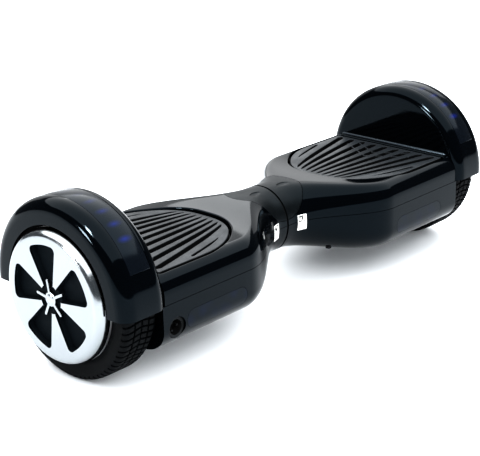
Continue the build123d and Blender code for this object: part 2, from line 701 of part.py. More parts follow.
# ---- footpad: ribbed rubber mat on its plate ----
with BuildPart() as footpad:
    add(recess_block(RECESS_GAP, PAD_Z, PAD_Z + PAD_BASE))
    with BuildSketch(Plane.XY.offset(PAD_Z + PAD_BASE)):
        for rib in range(RIB_COUNT):
            fan = RIB_FAN * (rib - (RIB_COUNT - 1) / 2) / ((RIB_COUNT - 1) / 2)
            with Locations(Location((RIB_FAN_X, 0), fan)):
                with Locations((RIB_LENGTH / 2, 0)):
                    Rectangle(RIB_LENGTH, RIB_WIDTH)
        add(recess_outline(RECESS_GAP + RIB_EDGE), mode=Mode.INTERSECT)
    extrude(amount=RIB_HEIGHT)
save_pair(footpad, "footpad")

with BuildPart() as pad_plungers:
    add(posts(PLUNGER_PLACES, PLUNGER_R, PLUNGER_LOW, PAD_Z))
save_pair(pad_plungers, "pad_plungers")

# ---- chassis: cast plate with the swivel tube at one end and the axle seat at the other ----
CLAMP_BOLT_PLACES = [(x, y) for x in (AXLE_BLOCK_X + CLAMP_BOLT_INSET, PLATE_END_X - CLAMP_BOLT_INSET)
                     for y in (-CLAMP_BOLT_HALF, CLAMP_BOLT_HALF)]
CLAMP_TOP = AXLE_Z + AXLE_R + CLAMP_THICK
NECK_LENGTH = NECK_PLATE_REACH + PLATE_START_X - TUBE_END_X + NECK_PLATE_OVERLAP
NECK_MID_X = PLATE_START_X + NECK_PLATE_OVERLAP - NECK_LENGTH / 2


def upright_block(x, y, length, width, low, high):
    with BuildPart() as block:
        with BuildSketch(Plane.XY.offset(low)):
            with Locations((x, y)):
                Rectangle(length, width)
        extrude(amount=high - low)
    return block.part


def axle_seat_block(low, high):
    """Half of the block that grips the axle."""
    with BuildPart() as block:
        add(upright_block((AXLE_BLOCK_X + PLATE_END_X) / 2, 0, AXLE_BLOCK_LENGTH,
                          2 * AXLE_BLOCK_HALF, low, high))
        add(rod_on_x(AXLE_BLOCK_X - OVERCUT, AXLE_BLOCK_LENGTH + 2 * OVERCUT, AXLE_R, AXLE_Z),
            mode=Mode.SUBTRACT)
    return block.part


def chassis_solid(tube_bore):
    """The right-hand chassis, with the given bore in its swivel tube."""
    with BuildPart() as chassis:
        with BuildSketch(Plane.XY.offset(PLATE_Z)):
            with Locations((PLATE_MID_X, 0)):
                RectangleRounded(PLATE_LENGTH, 2 * PLATE_HALF, PLATE_ROUND)
        extrude(amount=PLATE_THICK)
        add(upright_block(NECK_MID_X, 0, NECK_LENGTH, 2 * NECK_PLATE_HALF, PLATE_Z, PLATE_TOP))
        add(ring_on_x(TUBE_START_X, TUBE_END_X - TUBE_START_X, TUBE_R, tube_bore, PIVOT_Z))
        for side in (-1, 1):
            add(upright_block(PLATE_MID_X, side * (PLATE_HALF - FLANGE_WALL / 2),
                              PLATE_LENGTH - 2 * PLATE_ROUND,
                              FLANGE_WALL, PLATE_Z, PLATE_TOP + FLANGE_HEIGHT))
            add(upright_block(NECK_MID_X, side * (NECK_PLATE_HALF - FLANGE_WALL / 2), NECK_LENGTH,
                              FLANGE_WALL, PLATE_Z, PLATE_TOP + FLANGE_HEIGHT))
        add(axle_seat_block(PLATE_Z, AXLE_Z))
        add(rod_on_x(TUBE_START_X - OVERCUT, TUBE_END_X - TUBE_START_X + OVERCUT, tube_bore, PIVOT_Z),
            mode=Mode.SUBTRACT)
        add(rod_on_x(TUBE_END_X, SHAFT_END_X - TUBE_END_X + 2 * CIRCLIP_ROOM, CIRCLIP_R + CIRCLIP_ROOM,
                     PIVOT_Z),
            mode=Mode.SUBTRACT)
        add(posts(CLAMP_BOLT_PLACES, BOLT_R, PLATE_Z - OVERCUT, AXLE_Z + OVERCUT), mode=Mode.SUBTRACT)
        add(posts(POST_PLACES, BOLT_R, PLATE_Z - OVERCUT, PLATE_TOP + OVERCUT), mode=Mode.SUBTRACT)
    return chassis.part


SLOT_HALF_ANGLE = radians(SWIVEL_LIMIT + STOP_SLOT_SPARE) + (STOP_PIN_R + FIT) / STOP_PIN_AT_R
SLOT_SIDE = 2 * STOP_PIN_AT_R * sin(SLOT_HALF_ANGLE)
SLOT_REACH = 2 * STOP_PIN_AT_R * cos(SLOT_HALF_ANGLE)
with BuildPart() as stop_slot:
    with BuildSketch(Plane.YZ.offset(TUBE_START_X - OVERCUT)):
        with Locations((0, PIVOT_Z)):
            Circle(STOP_PIN_AT_R + STOP_PIN_R + FIT)
            Circle(STOP_PIN_AT_R - STOP_PIN_R - FIT, mode=Mode.SUBTRACT)
            Polygon((0, 0), (SLOT_SIDE, SLOT_REACH), (-SLOT_SIDE, SLOT_REACH), align=None,
                    mode=Mode.INTERSECT)
    extrude(amount=STOP_PIN_REACH + 3 * STOP_SLOT_SPARE)

with BuildPart() as right_chassis:
    add(chassis_solid(BUSH_R))
    add(stop_slot.part, mode=Mode.SUBTRACT)
save(right_chassis, "right_chassis")

with BuildPart() as left_chassis:
    mirror(chassis_solid(SHAFT_R), about=Plane.YZ)
    add(rod_on_x(-TUBE_START_X - STOP_PIN_SEAT, STOP_PIN_SEAT + OVERCUT, STOP_PIN_R,
                 PIVOT_Z + STOP_PIN_AT_R), mode=Mode.SUBTRACT)
save(left_chassis, "left_chassis")

with BuildPart() as axle_clamp:
    add(axle_seat_block(AXLE_Z, CLAMP_TOP))
    add(posts(CLAMP_BOLT_PLACES, BOLT_R, AXLE_Z - OVERCUT, CLAMP_TOP + OVERCUT),
        mode=Mode.SUBTRACT)
save_pair(axle_clamp, "axle_clamp")

with BuildPart() as frame_bolts:
    add(posts(CLAMP_BOLT_PLACES, BOLT_R, PLATE_Z + OVERCUT, CLAMP_TOP))
    add(posts(CLAMP_BOLT_PLACES, BOLT_HEAD_R, CLAMP_TOP, CLAMP_TOP + BOLT_HEAD))
    add(posts(POST_PLACES, BOLT_R, PLATE_Z - BOLT_GRIP + OVERCUT, PLATE_TOP))
    add(posts(POST_PLACES, BOLT_HEAD_R, PLATE_TOP, PLATE_TOP + BOLT_HEAD))
save_pair(frame_bolts, "frame_bolts")

with BuildPart() as shell_screws:
    add(posts(SCREW_PLACES, SCREW_R, SCREW_SEAT_Z, SCREW_END_Z))
    add(posts(SCREW_PLACES, SCREW_HEAD_R, SCREW_SEAT_Z - SCREW_HEAD, SCREW_SEAT_Z))
save_pair(shell_screws, "shell_screws")

# ---- swivel joint ----
with BuildPart() as pivot_shaft:
    add(ring_on_x(-SHAFT_END_X, 2 * SHAFT_END_X, SHAFT_R, SHAFT_BORE_R, PIVOT_Z))
    add(ring_on_x(TUBE_END_X + FIT, CIRCLIP_THICK, SHAFT_R + OVERCUT, CIRCLIP_GROOVE_R, PIVOT_Z),
        mode=Mode.SUBTRACT)
save(pivot_shaft, "pivot_shaft")

with BuildPart() as pivot_bush:
    add(ring_on_x(TUBE_START_X, TUBE_END_X - TUBE_START_X, BUSH_R, SHAFT_R + RUNNING, PIVOT_Z))
save(pivot_bush, "pivot_bush")

with BuildPart() as pivot_circlip:
    add(ring_on_x(TUBE_END_X + FIT, CIRCLIP_THICK, CIRCLIP_R, CIRCLIP_GROOVE_R, PIVOT_Z))
    with BuildSketch(Plane.YZ.offset(TUBE_END_X)):
        with Locations((0, PIVOT_Z - SHAFT_R)):
            Rectangle(CIRCLIP_OPENING, 3 * CIRCLIP_WIDTH)
    extrude(amount=2 * CIRCLIP_THICK, mode=Mode.SUBTRACT)
save(pivot_circlip, "pivot_circlip")

with BuildPart() as stop_pin:
    add(rod_on_x(-TUBE_START_X - STOP_PIN_SEAT,
                 2 * TUBE_START_X + STOP_PIN_SEAT + STOP_PIN_REACH,
                 STOP_PIN_R, PIVOT_Z + STOP_PIN_AT_R))
save(stop_pin, "stop_pin")

with BuildPart() as pivot_seal:
    add(ring_on_x(-NECK_END_X, 2 * NECK_END_X - SEAM, SEAL_OUT_R, SEAL_IN_R, PIVOT_Z))
save(pivot_seal, "pivot_seal")

with BuildPart() as pivot_cable:
    add(rod_on_x(-CABLE_END_X, 2 * CABLE_END_X, CABLE_R, PIVOT_Z))
    for start in (-SHAFT_END_X, SHAFT_END_X - GROMMET):
        add(rod_on_x(start, GROMMET, SHAFT_BORE_R, PIVOT_Z))
    for start in (-CABLE_END_X - PLUG_SIZE, CABLE_END_X):
        with BuildSketch(Plane.YZ.offset(start)):
            with Locations((0, PIVOT_Z)):
                Rectangle(PLUG_SIZE, PLUG_HEIGHT)
        extrude(amount=PLUG_SIZE)
save(pivot_cable, "pivot_cable")

# ---- electronics ----
PCB_Z = PLATE_Z - PCB_DROP
with BuildPart() as main_board:
    add(upright_block(-PLATE_MID_X, 0, PCB_LENGTH, PCB_WIDTH, PCB_Z, PCB_Z + PCB_THICK))
    for x in (-1, 1):
        for y in (-1, 1):
            corner = (-PLATE_MID_X + x * (PCB_LENGTH / 2 - PCB_POST_INSET),
                      y * (PCB_WIDTH / 2 - PCB_POST_INSET))
            add(posts([corner], PCB_POST_R, PCB_Z + PCB_THICK, PLATE_Z))
    with BuildSketch(Plane.XY.offset(PCB_Z)):
        with Locations(*[(-PLATE_MID_X - x, y) for x, y in CAPACITOR_PLACES]):
            Circle(CAPACITOR_R)
    extrude(amount=-CAPACITOR_HEIGHT)
    with BuildSketch(Plane.XY.offset(PCB_Z)):
        with Locations((-PLATE_MID_X - TRANSISTOR_ROW[0], TRANSISTOR_ROW[1])):
            with GridLocations(TRANSISTOR_SIZE[0] + 2, 1, TRANSISTOR_COUNT, 1):
                Rectangle(*TRANSISTOR_SIZE)
        with Locations((-PLATE_MID_X - CONNECTOR_ROW[0], CONNECTOR_ROW[1])):
            with GridLocations(1, CONNECTOR_SIZE[1] + 4, 1, CONNECTOR_COUNT):
                Rectangle(*CONNECTOR_SIZE)
    extrude(amount=-CHIP_HEIGHT)
save(main_board, "main_board")

with BuildPart() as battery_pack:
    add(upright_block(BATTERY_X, 0, BATTERY_LENGTH, BATTERY_WIDTH,
                      BELLY_Z + SHELL_WALL + FIT, PLATE_Z - FIT))
    fillet(battery_pack.edges().filter_by(Axis.Z), BATTERY_ROUND)
save(battery_pack, "battery_pack")

with BuildPart() as sensor_board:
    add(upright_block(SENSOR_X, 0, SENSOR_LENGTH, SENSOR_WIDTH, PLATE_TOP + SENSOR_LIFT,
                      PLATE_TOP + SENSOR_LIFT + PCB_THICK))
    add(posts([(SENSOR_X + x, y) for x in (-SENSOR_POSTS[0], SENSOR_POSTS[0])
               for y in (-SENSOR_POSTS[1], SENSOR_POSTS[1])],
              PCB_POST_R, PLATE_TOP, PLATE_TOP + SENSOR_LIFT))
    for x, y in PLUNGER_PLACES:
        add(upright_block(x, y, *SWITCH_SIZE, PLATE_TOP + SENSOR_LIFT, SENSOR_TOP))
save_pair(sensor_board, "sensor_board")

# ---- axle, bearings and hub motor ----
with BuildPart() as axle:
    add(rod_on_x(AXLE_START_X, AXLE_END_X - AXLE_START_X, AXLE_R, AXLE_Z))
    chamfer(axle.faces().sort_by(Axis.X)[-1].edges(), AXLE_CHAMFER)
save_pair(axle, "axle")

with BuildPart() as wheel_bearings:
    for start in (BEARING_IN_X, BEARING_OUT_X):
        add(ring_on_x(start, BEARING_WIDTH, BEARING_R, AXLE_R + RUNNING, AXLE_Z))
save_pair(wheel_bearings, "wheel_bearings")

with BuildPart() as stator:
    with BuildSketch(Plane.YZ.offset(STATOR_X)):
        with Locations((0, AXLE_Z)):
            Circle(STATOR_R)
            Circle(AXLE_R, mode=Mode.SUBTRACT)
            with PolarLocations((STATOR_R + STATOR_HUB_R) / 2 - 1, STATOR_TEETH):
                Rectangle(STATOR_R - STATOR_HUB_R - SLOT_MARGIN, SLOT_WIDTH, mode=Mode.SUBTRACT)
            with PolarLocations(STATOR_R - 1, STATOR_TEETH):
                Rectangle(2 * SLOT_MARGIN, SLOT_MOUTH, mode=Mode.SUBTRACT)
            with PolarLocations((STATOR_HUB_R + AXLE_R + SLOT_MARGIN) / 2, LIGHTENING_HOLES):
                Circle(LIGHTENING_R, mode=Mode.SUBTRACT)
    extrude(amount=STATOR_WIDTH)
save_pair(stator, "stator")

with BuildPart() as magnets:
    with BuildSketch(Plane.YZ.offset(STATOR_X - MAGNET_OVERHANG)):
        with Locations((0, AXLE_Z)):
            Circle(MAGNET_OUT_R)
            Circle(MAGNET_R, mode=Mode.SUBTRACT)
            with PolarLocations(MAGNET_R + MAGNET_THICK / 2, MAGNET_COUNT):
                Rectangle(MAGNET_THICK * 3, MAGNET_SPLIT, mode=Mode.SUBTRACT)
    extrude(amount=STATOR_WIDTH + 2 * MAGNET_OVERHANG)
save_pair(magnets, "magnets")

with BuildPart() as hub_shell:
    add(ring_on_x(CUP_X, CUP_END_X - CUP_X, RIM_R, MAGNET_OUT_R, AXLE_Z))
    add(ring_on_x(CUP_X, CUP_WALL, RIM_R, BEARING_R, AXLE_Z))
    add(ring_on_x(CUP_X, BEARING_WIDTH, BEARING_R + BEARING_SEAT_WALL, BEARING_R, AXLE_Z))
save_pair(hub_shell, "hub_shell")


def window_outline():
    """One window of the wheel face, pointing along the sketch's first axis."""
    half = radians(WINDOW_HALF_ANGLE)
    corner = (WINDOW_OUT_R * cos(half), WINDOW_OUT_R * sin(half))
    low_corner = (corner[0], -corner[1])
    with BuildSketch(Plane.XY) as outline:
        with BuildLine():
            ThreePointArc(low_corner, (WINDOW_OUT_R, 0), corner)
            Polyline(corner, (WINDOW_THROAT_R, WINDOW_THROAT_HALF),
                     (WINDOW_THROAT_R, -WINDOW_THROAT_HALF), low_corner)
        make_face()
        fillet(outline.vertices().group_by(Axis.X)[-1], WINDOW_ROUND)
    return outline.sketch


def window_block(x, depth, centre_r):
    """All the windows of a wheel face, as one cutting tool along the axle."""
    with BuildPart() as block:
        with BuildSketch(Plane.YZ.offset(x)):
            with Locations((0, AXLE_Z)):
                with PolarLocations(0, WINDOW_COUNT, start_angle=180 - WINDOW_PHASE):
                    add(window_outline())
                if centre_r > 0:
                    Circle(centre_r)
        extrude(amount=depth)
    return block.part


with BuildPart() as wheel_face:
    with BuildSketch(Plane.XZ):
        with BuildLine():
            Polyline((SHOULDER_X, AXLE_Z + RIM_R), (CUP_END_X, AXLE_Z + RIM_R),
                     (CUP_END_X, AXLE_Z + MAGNET_OUT_R), (COVER_TOP_X, AXLE_Z + MAGNET_OUT_R),
                     (COVER_TOP_X, AXLE_Z), (FACE_X, AXLE_Z),
                     (FACE_X, AXLE_Z + SHOULDER_START_R))
            EllipticalCenterArc((SHOULDER_X, AXLE_Z + SHOULDER_START_R), FACE_X - SHOULDER_X,
                                RIM_R - SHOULDER_START_R, 0, arc_size=90)
        make_face()
    revolve(axis=AXLE_LINE)
    add(window_block(COVER_TOP_X - OVERCUT, FACE_THICK + 2 * OVERCUT, HUB_CENTRE_R),
        mode=Mode.SUBTRACT)
save_pair(wheel_face, "wheel_face")

with BuildPart() as motor_cover:
    add(rod_on_x(COVER_X, COVER_TOP_X - COVER_X, MAGNET_OUT_R - FIT, AXLE_Z))
    add(ring_on_x(BEARING_OUT_X, COVER_X - BEARING_OUT_X, BEARING_R + BEARING_SEAT_WALL, BEARING_R,
                  AXLE_Z))
    add(window_block(COVER_TOP_X - POCKET_DEPTH, POCKET_DEPTH + OVERCUT, 0), mode=Mode.SUBTRACT)
save_pair(motor_cover, "motor_cover")

with BuildPart() as star_cap:
    with BuildSketch(Plane.YZ.offset(COVER_TOP_X)):
        with Locations((0, AXLE_Z)):
            Circle(STAR_R)
            with PolarLocations(STAR_RAY_R / 2, WINDOW_COUNT, start_angle=180 - WINDOW_PHASE):
                SlotOverall(STAR_RAY_R, STAR_RAY_WIDTH)
    extrude(amount=STAR_TOP_X - COVER_TOP_X)
save_pair(star_cap, "star_cap")

# ---- tyre ----
with BuildPart() as tyre:
    add(ring_on_x(TYRE_IN_X, TYRE_WIDTH, TYRE_R, RIM_R, AXLE_Z))
    fillet(tyre.edges().filter_by(GeomType.CIRCLE).group_by(SortBy.RADIUS)[-1], TYRE_SHOULDER)
    for groove_x in GROOVE_PLACES:
        add(ring_on_x(groove_x - GROOVE_WIDTH / 2, GROOVE_WIDTH, TYRE_R + OVERCUT,
                      TYRE_R - TREAD_DEPTH, AXLE_Z), mode=Mode.SUBTRACT)
    for start in (TYRE_IN_X - OVERCUT, TYRE_OUT_X - NOTCH_LENGTH + OVERCUT):
        with BuildSketch(Plane.YZ.offset(start)):
            with Locations((0, AXLE_Z)):
                with PolarLocations(TYRE_R, TREAD_NOTCHES):
                    Rectangle(2 * TREAD_DEPTH, NOTCH_WIDTH)
        extrude(amount=NOTCH_LENGTH, mode=Mode.SUBTRACT)
save_pair(tyre, "tyre")

# ---- paper seals across the neck seam ----
with BuildPart() as seal_label:
    for upper in (True, False):
        add(skin(upper, NECK_END_X, FLARE_END_X, -LABEL_THICK - LABEL_LIFT, -LABEL_LIFT))
    with BuildSketch(Plane.XZ):
        with Locations((LABEL_X + LABEL_LENGTH / 2, PARTING_Z - LABEL_DROP)):
            Rectangle(LABEL_LENGTH, LABEL_HEIGHT)
    extrude(amount=BODY_HALF_WIDTH, mode=Mode.INTERSECT)
save_pair(seal_label, "seal_label")
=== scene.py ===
import bpy
import bmesh
from math import atan2, cos, pi, radians, sin, sqrt
from mathutils import Matrix, Vector


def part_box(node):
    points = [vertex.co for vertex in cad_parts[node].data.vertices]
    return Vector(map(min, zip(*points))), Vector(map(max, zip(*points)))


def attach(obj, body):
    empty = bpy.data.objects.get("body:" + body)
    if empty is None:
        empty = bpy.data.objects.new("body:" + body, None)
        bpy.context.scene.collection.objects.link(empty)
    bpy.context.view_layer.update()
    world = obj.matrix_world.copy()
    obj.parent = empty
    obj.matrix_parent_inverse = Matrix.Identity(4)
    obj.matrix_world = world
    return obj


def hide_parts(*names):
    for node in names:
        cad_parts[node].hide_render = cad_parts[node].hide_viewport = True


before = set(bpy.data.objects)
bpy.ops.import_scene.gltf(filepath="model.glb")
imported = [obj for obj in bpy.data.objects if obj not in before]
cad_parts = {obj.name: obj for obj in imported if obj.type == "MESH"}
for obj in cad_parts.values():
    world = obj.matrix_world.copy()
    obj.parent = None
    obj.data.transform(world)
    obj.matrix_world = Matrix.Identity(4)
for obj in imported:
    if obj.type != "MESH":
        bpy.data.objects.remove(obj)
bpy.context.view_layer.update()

# Self-balancing board. All sizes below are in millimetres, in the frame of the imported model:
# X along the axles, -Y to the front, +Z up. Every piece is drawn for the right-hand half at +X
# and mirrored for the left-hand half by its side, which is 1 or -1. In the functions that make a
# piece, name is the half's name, left or right.
MM = 0.001
SIDES = (("left", -1), ("right", 1))
scene = bpy.context.scene


def node_box(node):
    """A node's low and high corners in millimetres."""
    low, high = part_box(node)
    return [c / MM for c in low], [c / MM for c in high]


def side_box(name):
    """The box of a right-hand node."""
    return node_box("right_" + name)


# ---- sizes read from the frame ----
TYRE_LOW, TYRE_HIGH = side_box("tyre")
FACE_LOW, FACE_HIGH = side_box("wheel_face")
FENDER_LOW, FENDER_HIGH = side_box("fender")
STRIP_LOW, STRIP_HIGH = side_box("light_strip")
UPPER_LOW, UPPER_HIGH = side_box("upper_shell")
LOWER_LOW, LOWER_HIGH = side_box("lower_shell")
PAD_LOW, PAD_HIGH = side_box("footpad")
LENS_LOW, LENS_HIGH = side_box("headlight_lens")
LABEL_LOW, LABEL_HIGH = side_box("seal_label")
PORT_LOW, PORT_HIGH = node_box("charge_socket")
BUTTON_LOW, BUTTON_HIGH = node_box("power_button")
TYRE_IN_X, TYRE_OUT_X = TYRE_LOW[0], TYRE_HIGH[0]
TYRE_R = (TYRE_HIGH[2] - TYRE_LOW[2]) / 2
AXLE_Z = TYRE_R
RIM_R = (FACE_HIGH[2] - FACE_LOW[2]) / 2
FACE_X = FACE_HIGH[0]
STAR_TOP_X = side_box("star_cap")[1][0]
FENDER_IN_X, FENDER_OUT_X = FENDER_LOW[0], FENDER_HIGH[0]
FENDER_R = FENDER_HIGH[2] - AXLE_Z
STRIP_IN_X, STRIP_OUT_X = STRIP_LOW[0], STRIP_HIGH[0]
STRIP_END_Z = STRIP_LOW[2]
NECK_END_X = LOWER_LOW[0]
UPPER_END_X, LOWER_END_X = UPPER_HIGH[0], LOWER_HIGH[0]
PARTING_Z = UPPER_LOW[2]
BELLY_Z = LOWER_LOW[2]
PAD_Z, PAD_TOP_Z = PAD_LOW[2], PAD_HIGH[2]
CAP_END_X = side_box("neck_cap")[1][0]
SEAL_END_X = node_box("pivot_seal")[1][0]

# ---- sizes of the body's skin ----
NECK_R = 36.0
NECK_STRAIGHT_X = 8.0
FLARE_END_X = 115.0
BODY_HALF_WIDTH = 88.0
PLATFORM_Z = 110.0
TOP_ROUND = (16.0, 20.0)
BELLY_ROUND = (30.0, 24.0)
WALL = 2.5
CAP_CENTRE_X = 4.0
CAP_DROP = 10.0
CAP_REACH = 39.0
SEAM = 0.5
OVERCUT = 4.0                # how far a cutter runs past the skin
WHEEL_HOLE_R = 25.5
RECESS_Z = 102.0
RECESS_TIP = (83.0, 36.0)
RECESS_HALF = 76.5
RECESS_CORNER_X = 133.0
RECESS_ROUNDS = (60.0, 84.0, 4.0)
RECESS_END_X = UPPER_END_X - 2 * WALL
PAD_GAP = 2.6


# ================= mesh tools =================
def make_object(name, points, faces, side=1, flip=False):
    """A mesh object from points in millimetres, mirrored when side is -1."""
    mesh = bpy.data.meshes.new(name)
    mesh.from_pydata([(x * side * MM, y * MM, z * MM) for x, y, z in points], [], faces)
    if (side < 0) != flip:
        mesh.flip_normals()
    mesh.update()
    piece = bpy.data.objects.new(name, mesh)
    scene.collection.objects.link(piece)
    return piece


def bake_modifiers(piece):
    """Replace a piece's mesh by the result of its modifiers."""
    graph = bpy.context.evaluated_depsgraph_get()
    mesh = bpy.data.meshes.new_from_object(piece.evaluated_get(graph))
    old = piece.data
    piece.modifiers.clear()
    piece.data = mesh
    bpy.data.meshes.remove(old)
    return piece


def combine(piece, cutters, operation="DIFFERENCE"):
    """Boolean of a piece with each cutter in turn; the cutters are used up."""
    for cutter in cutters:
        change = piece.modifiers.new(cutter.name, "BOOLEAN")
        change.operation = operation
        change.solver = "EXACT"
        change.object = cutter
        bake_modifiers(piece)
        bpy.data.objects.remove(cutter)
    return piece


def soften(piece, width, segments=2, angle=38):
    """Round a piece's hard edges by a small radius in millimetres."""
    weld = piece.modifiers.new("weld", "WELD")
    weld.merge_threshold = 0.02 * MM
    bevel = piece.modifiers.new("bevel", "BEVEL")
    bevel.width = width * MM
    bevel.segments = segments
    bevel.limit_method = "ANGLE"
    bevel.angle_limit = radians(angle)
    bevel.use_clamp_overlap = True
    return bake_modifiers(piece)


def shade(piece, angle=32):
    for polygon in piece.data.polygons:
        polygon.use_smooth = True
    piece.data.set_sharp_from_angle(angle=radians(angle))
    return piece


def dress(piece, material, body, slot, *replaced):
    """Give a piece its material, the body it rides on and the nodes it stands for."""
    piece.data.materials.clear()
    piece.data.materials.append(material)
    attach(piece, body)
    if replaced:
        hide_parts(*replaced)
    return piece


def loop_faces(rows, count, closed_rows=False, closed_loop=True):
    """Quads between successive rows of points, each row holding count points."""
    faces = []
    row_total = rows if closed_rows else rows - 1
    col_total = count if closed_loop else count - 1
    for row in range(row_total):
        after = (row + 1) % rows
        for col in range(col_total):
            beside = (col + 1) % count
            faces.append((row * count + col, row * count + beside,
                          after * count + beside, after * count + col))
    return faces


def channel_ends(rows, count):
    """Faces that close both ends of a thin channel, between its outer and its inner points."""
    faces = []
    for row, turn in ((0, False), (rows - 1, True)):
        first = row * count
        for k in range(count // 2 - 1):
            face = (first + k, first + k + 1, first + count - 2 - k, first + count - 1 - k)
            faces.append(tuple(reversed(face)) if turn else face)
    return faces


def lathe(name, profile, side, steps=160):
    """Turn a closed profile of (x, radius) points about the axle line."""
    points = []
    for step in range(steps):
        angle = 2 * pi * step / steps
        for x, radius in profile:
            points.append((x, radius * cos(angle), AXLE_Z + radius * sin(angle)))
    faces = loop_faces(steps, len(profile), closed_rows=True)
    return make_object(name, points, faces, side)


def prism(name, outline, low, high, place, side=1):
    """A capped prism: outline points (a, b) placed by place(a, b, h) between two heights."""
    count = len(outline)
    points = [place(a, b, low) for a, b in outline] + [place(a, b, high) for a, b in outline]
    faces = loop_faces(2, count)
    faces.append(tuple(reversed(range(count))))
    faces.append(tuple(range(count, 2 * count)))
    piece = make_object(name, points, faces, side)
    fix_normals(piece)
    return piece


def fix_normals(piece):
    work = bmesh.new()
    work.from_mesh(piece.data)
    bmesh.ops.recalc_face_normals(work, faces=work.faces)
    work.to_mesh(piece.data)
    work.free()
    return piece


def join(name, pieces):
    """Merge several pieces into one object."""
    work = bmesh.new()
    for piece in pieces:
        work.from_mesh(piece.data)
    mesh = bpy.data.meshes.new(name)
    work.to_mesh(mesh)
    work.free()
    for piece in pieces:
        bpy.data.objects.remove(piece)
    whole = bpy.data.objects.new(name, mesh)
    scene.collection.objects.link(whole)
    return whole


def flat_up(a, b, h):
    """Outline in plan, height upwards."""
    return (a, b, h)


def facing_front(a, b, h):
    """Outline in the X-Z plane, height along Y."""
    return (a, h, b)


def along_axle(a, b, h):
    """Outline round the axle, height along X."""
    return (h, a, AXLE_Z + b)


def circle(radius, steps=64, centre=(0.0, 0.0)):
    turns = [2 * pi * i / steps for i in range(steps)]
    return [(centre[0] + radius * cos(turn), centre[1] + radius * sin(turn)) for turn in turns]


def rounded_polygon(corners, radii, step_angle=6):
    """Outline of a polygon with each corner rounded to its own radius."""
    outline = []
    count = len(corners)
    for i in range(count):
        here = Vector(corners[i])
        before = (Vector(corners[i - 1]) - here).normalized()
        after = (Vector(corners[(i + 1) % count]) - here).normalized()
        half = before.angle(after) / 2
        reach = radii[i] / (sin(half) / cos(half))
        centre = here + (before + after).normalized() * radii[i] / sin(half)
        first = here + before * reach - centre
        last = here + after * reach - centre
        turn = pi - 2 * half
        steps = max(2, round(turn / radians(step_angle)))
        spin = 1 if first.x * last.y - first.y * last.x > 0 else -1
        start = atan2(first.y, first.x)
        for k in range(steps + 1):
            angle = start + spin * turn * k / steps
            outline.append((centre.x + radii[i] * cos(angle), centre.y + radii[i] * sin(angle)))
    return outline


def refine(outline, longest):
    """Add points on an outline's long runs."""
    result = []
    for i, here in enumerate(outline):
        after = outline[(i + 1) % len(outline)]
        gap = sqrt((after[0] - here[0]) ** 2 + (after[1] - here[1]) ** 2)
        steps = max(1, int(gap / longest + 0.999))
        for k in range(steps):
            t = k / steps
            result.append((here[0] + (after[0] - here[0]) * t, here[1] + (after[1] - here[1]) * t))
    return result


def grow(outline, distance):
    """Move each point of an outline outwards along its normal."""
    count = len(outline)
    ends = [(outline[i], outline[(i + 1) % count]) for i in range(count)]
    area = sum(here[0] * after[1] - after[0] * here[1] for here, after in ends)
    turn = 1 if area > 0 else -1
    result = []
    for i, (x, y) in enumerate(outline):
        before = Vector(outline[i - 1])
        after = Vector(outline[(i + 1) % count])
        run = (after - before).normalized()
        result.append((x + turn * run.y * distance, y - turn * run.x * distance))
    return result


# ================= the body's skin =================
def blend_to_body(neck, body, x):
    t = min(max((x - NECK_STRAIGHT_X) / (FLARE_END_X - NECK_STRAIGHT_X), 0.0), 1.0)
    return neck + (body - neck) * t * t * (3 - 2 * t)


def arch_sizes(x, upper):
    corner = NECK_R - 0.5
    half = blend_to_body(NECK_R, BODY_HALF_WIDTH, x)
    if upper:
        crown = blend_to_body(PARTING_Z + NECK_R, PLATFORM_Z, x)
        rounds = TOP_ROUND
    else:
        crown = blend_to_body(PARTING_Z - NECK_R, BELLY_Z, x)
        rounds = BELLY_ROUND
    return half, crown, blend_to_body(corner, rounds[0], x), blend_to_body(corner, rounds[1], x)


def skin_z(x, y, upper=True):
    half, crown, round_y, round_z = arch_sizes(x, upper)
    into = min(max(abs(y) - (half - round_y), 0.0) / round_y, 1.0)
    drop = round_z * (1 - sqrt(1 - into * into))
    return crown - drop if upper else crown + drop


def arch_points(x, upper, inset, base_z, round_steps=14, flat_steps=8):
    """Points of a half section from +Y over the crown to -Y."""
    half, crown, round_y, round_z = arch_sizes(x, upper)
    turn = 1 if upper else -1
    spring = crown - turn * round_z
    half_points = [(half - inset, base_z)]
    for k in range(round_steps + 1):
        angle = pi / 2 * k / round_steps
        half_points.append((half - round_y + (round_y - inset) * cos(angle),
                            spring + turn * (round_z - inset) * sin(angle)))
    flat = half - round_y
    level = crown - turn * inset
    middle = [(flat * (1 - 2 * k / flat_steps), level) for k in range(1, flat_steps)]
    mirrored = [(-y, z) for y, z in reversed(half_points)]
    return [(x, y, z) for y, z in half_points + middle + mirrored]


FLARE_STEP, STRAIGHT_STEP = 3.0, 12.0       # spacing of the skin's sections


def skin_stations(start_x, end_x):
    flare = min(end_x, FLARE_END_X)
    count = max(2, round((flare - start_x) / FLARE_STEP))
    stations = [start_x + (flare - start_x) * k / count for k in range(count + 1)]
    if end_x > FLARE_END_X:
        run = end_x - FLARE_END_X
        straight = max(2, round(run / STRAIGHT_STEP))
        stations += [FLARE_END_X + run * k / straight for k in range(1, straight + 1)]
    return stations


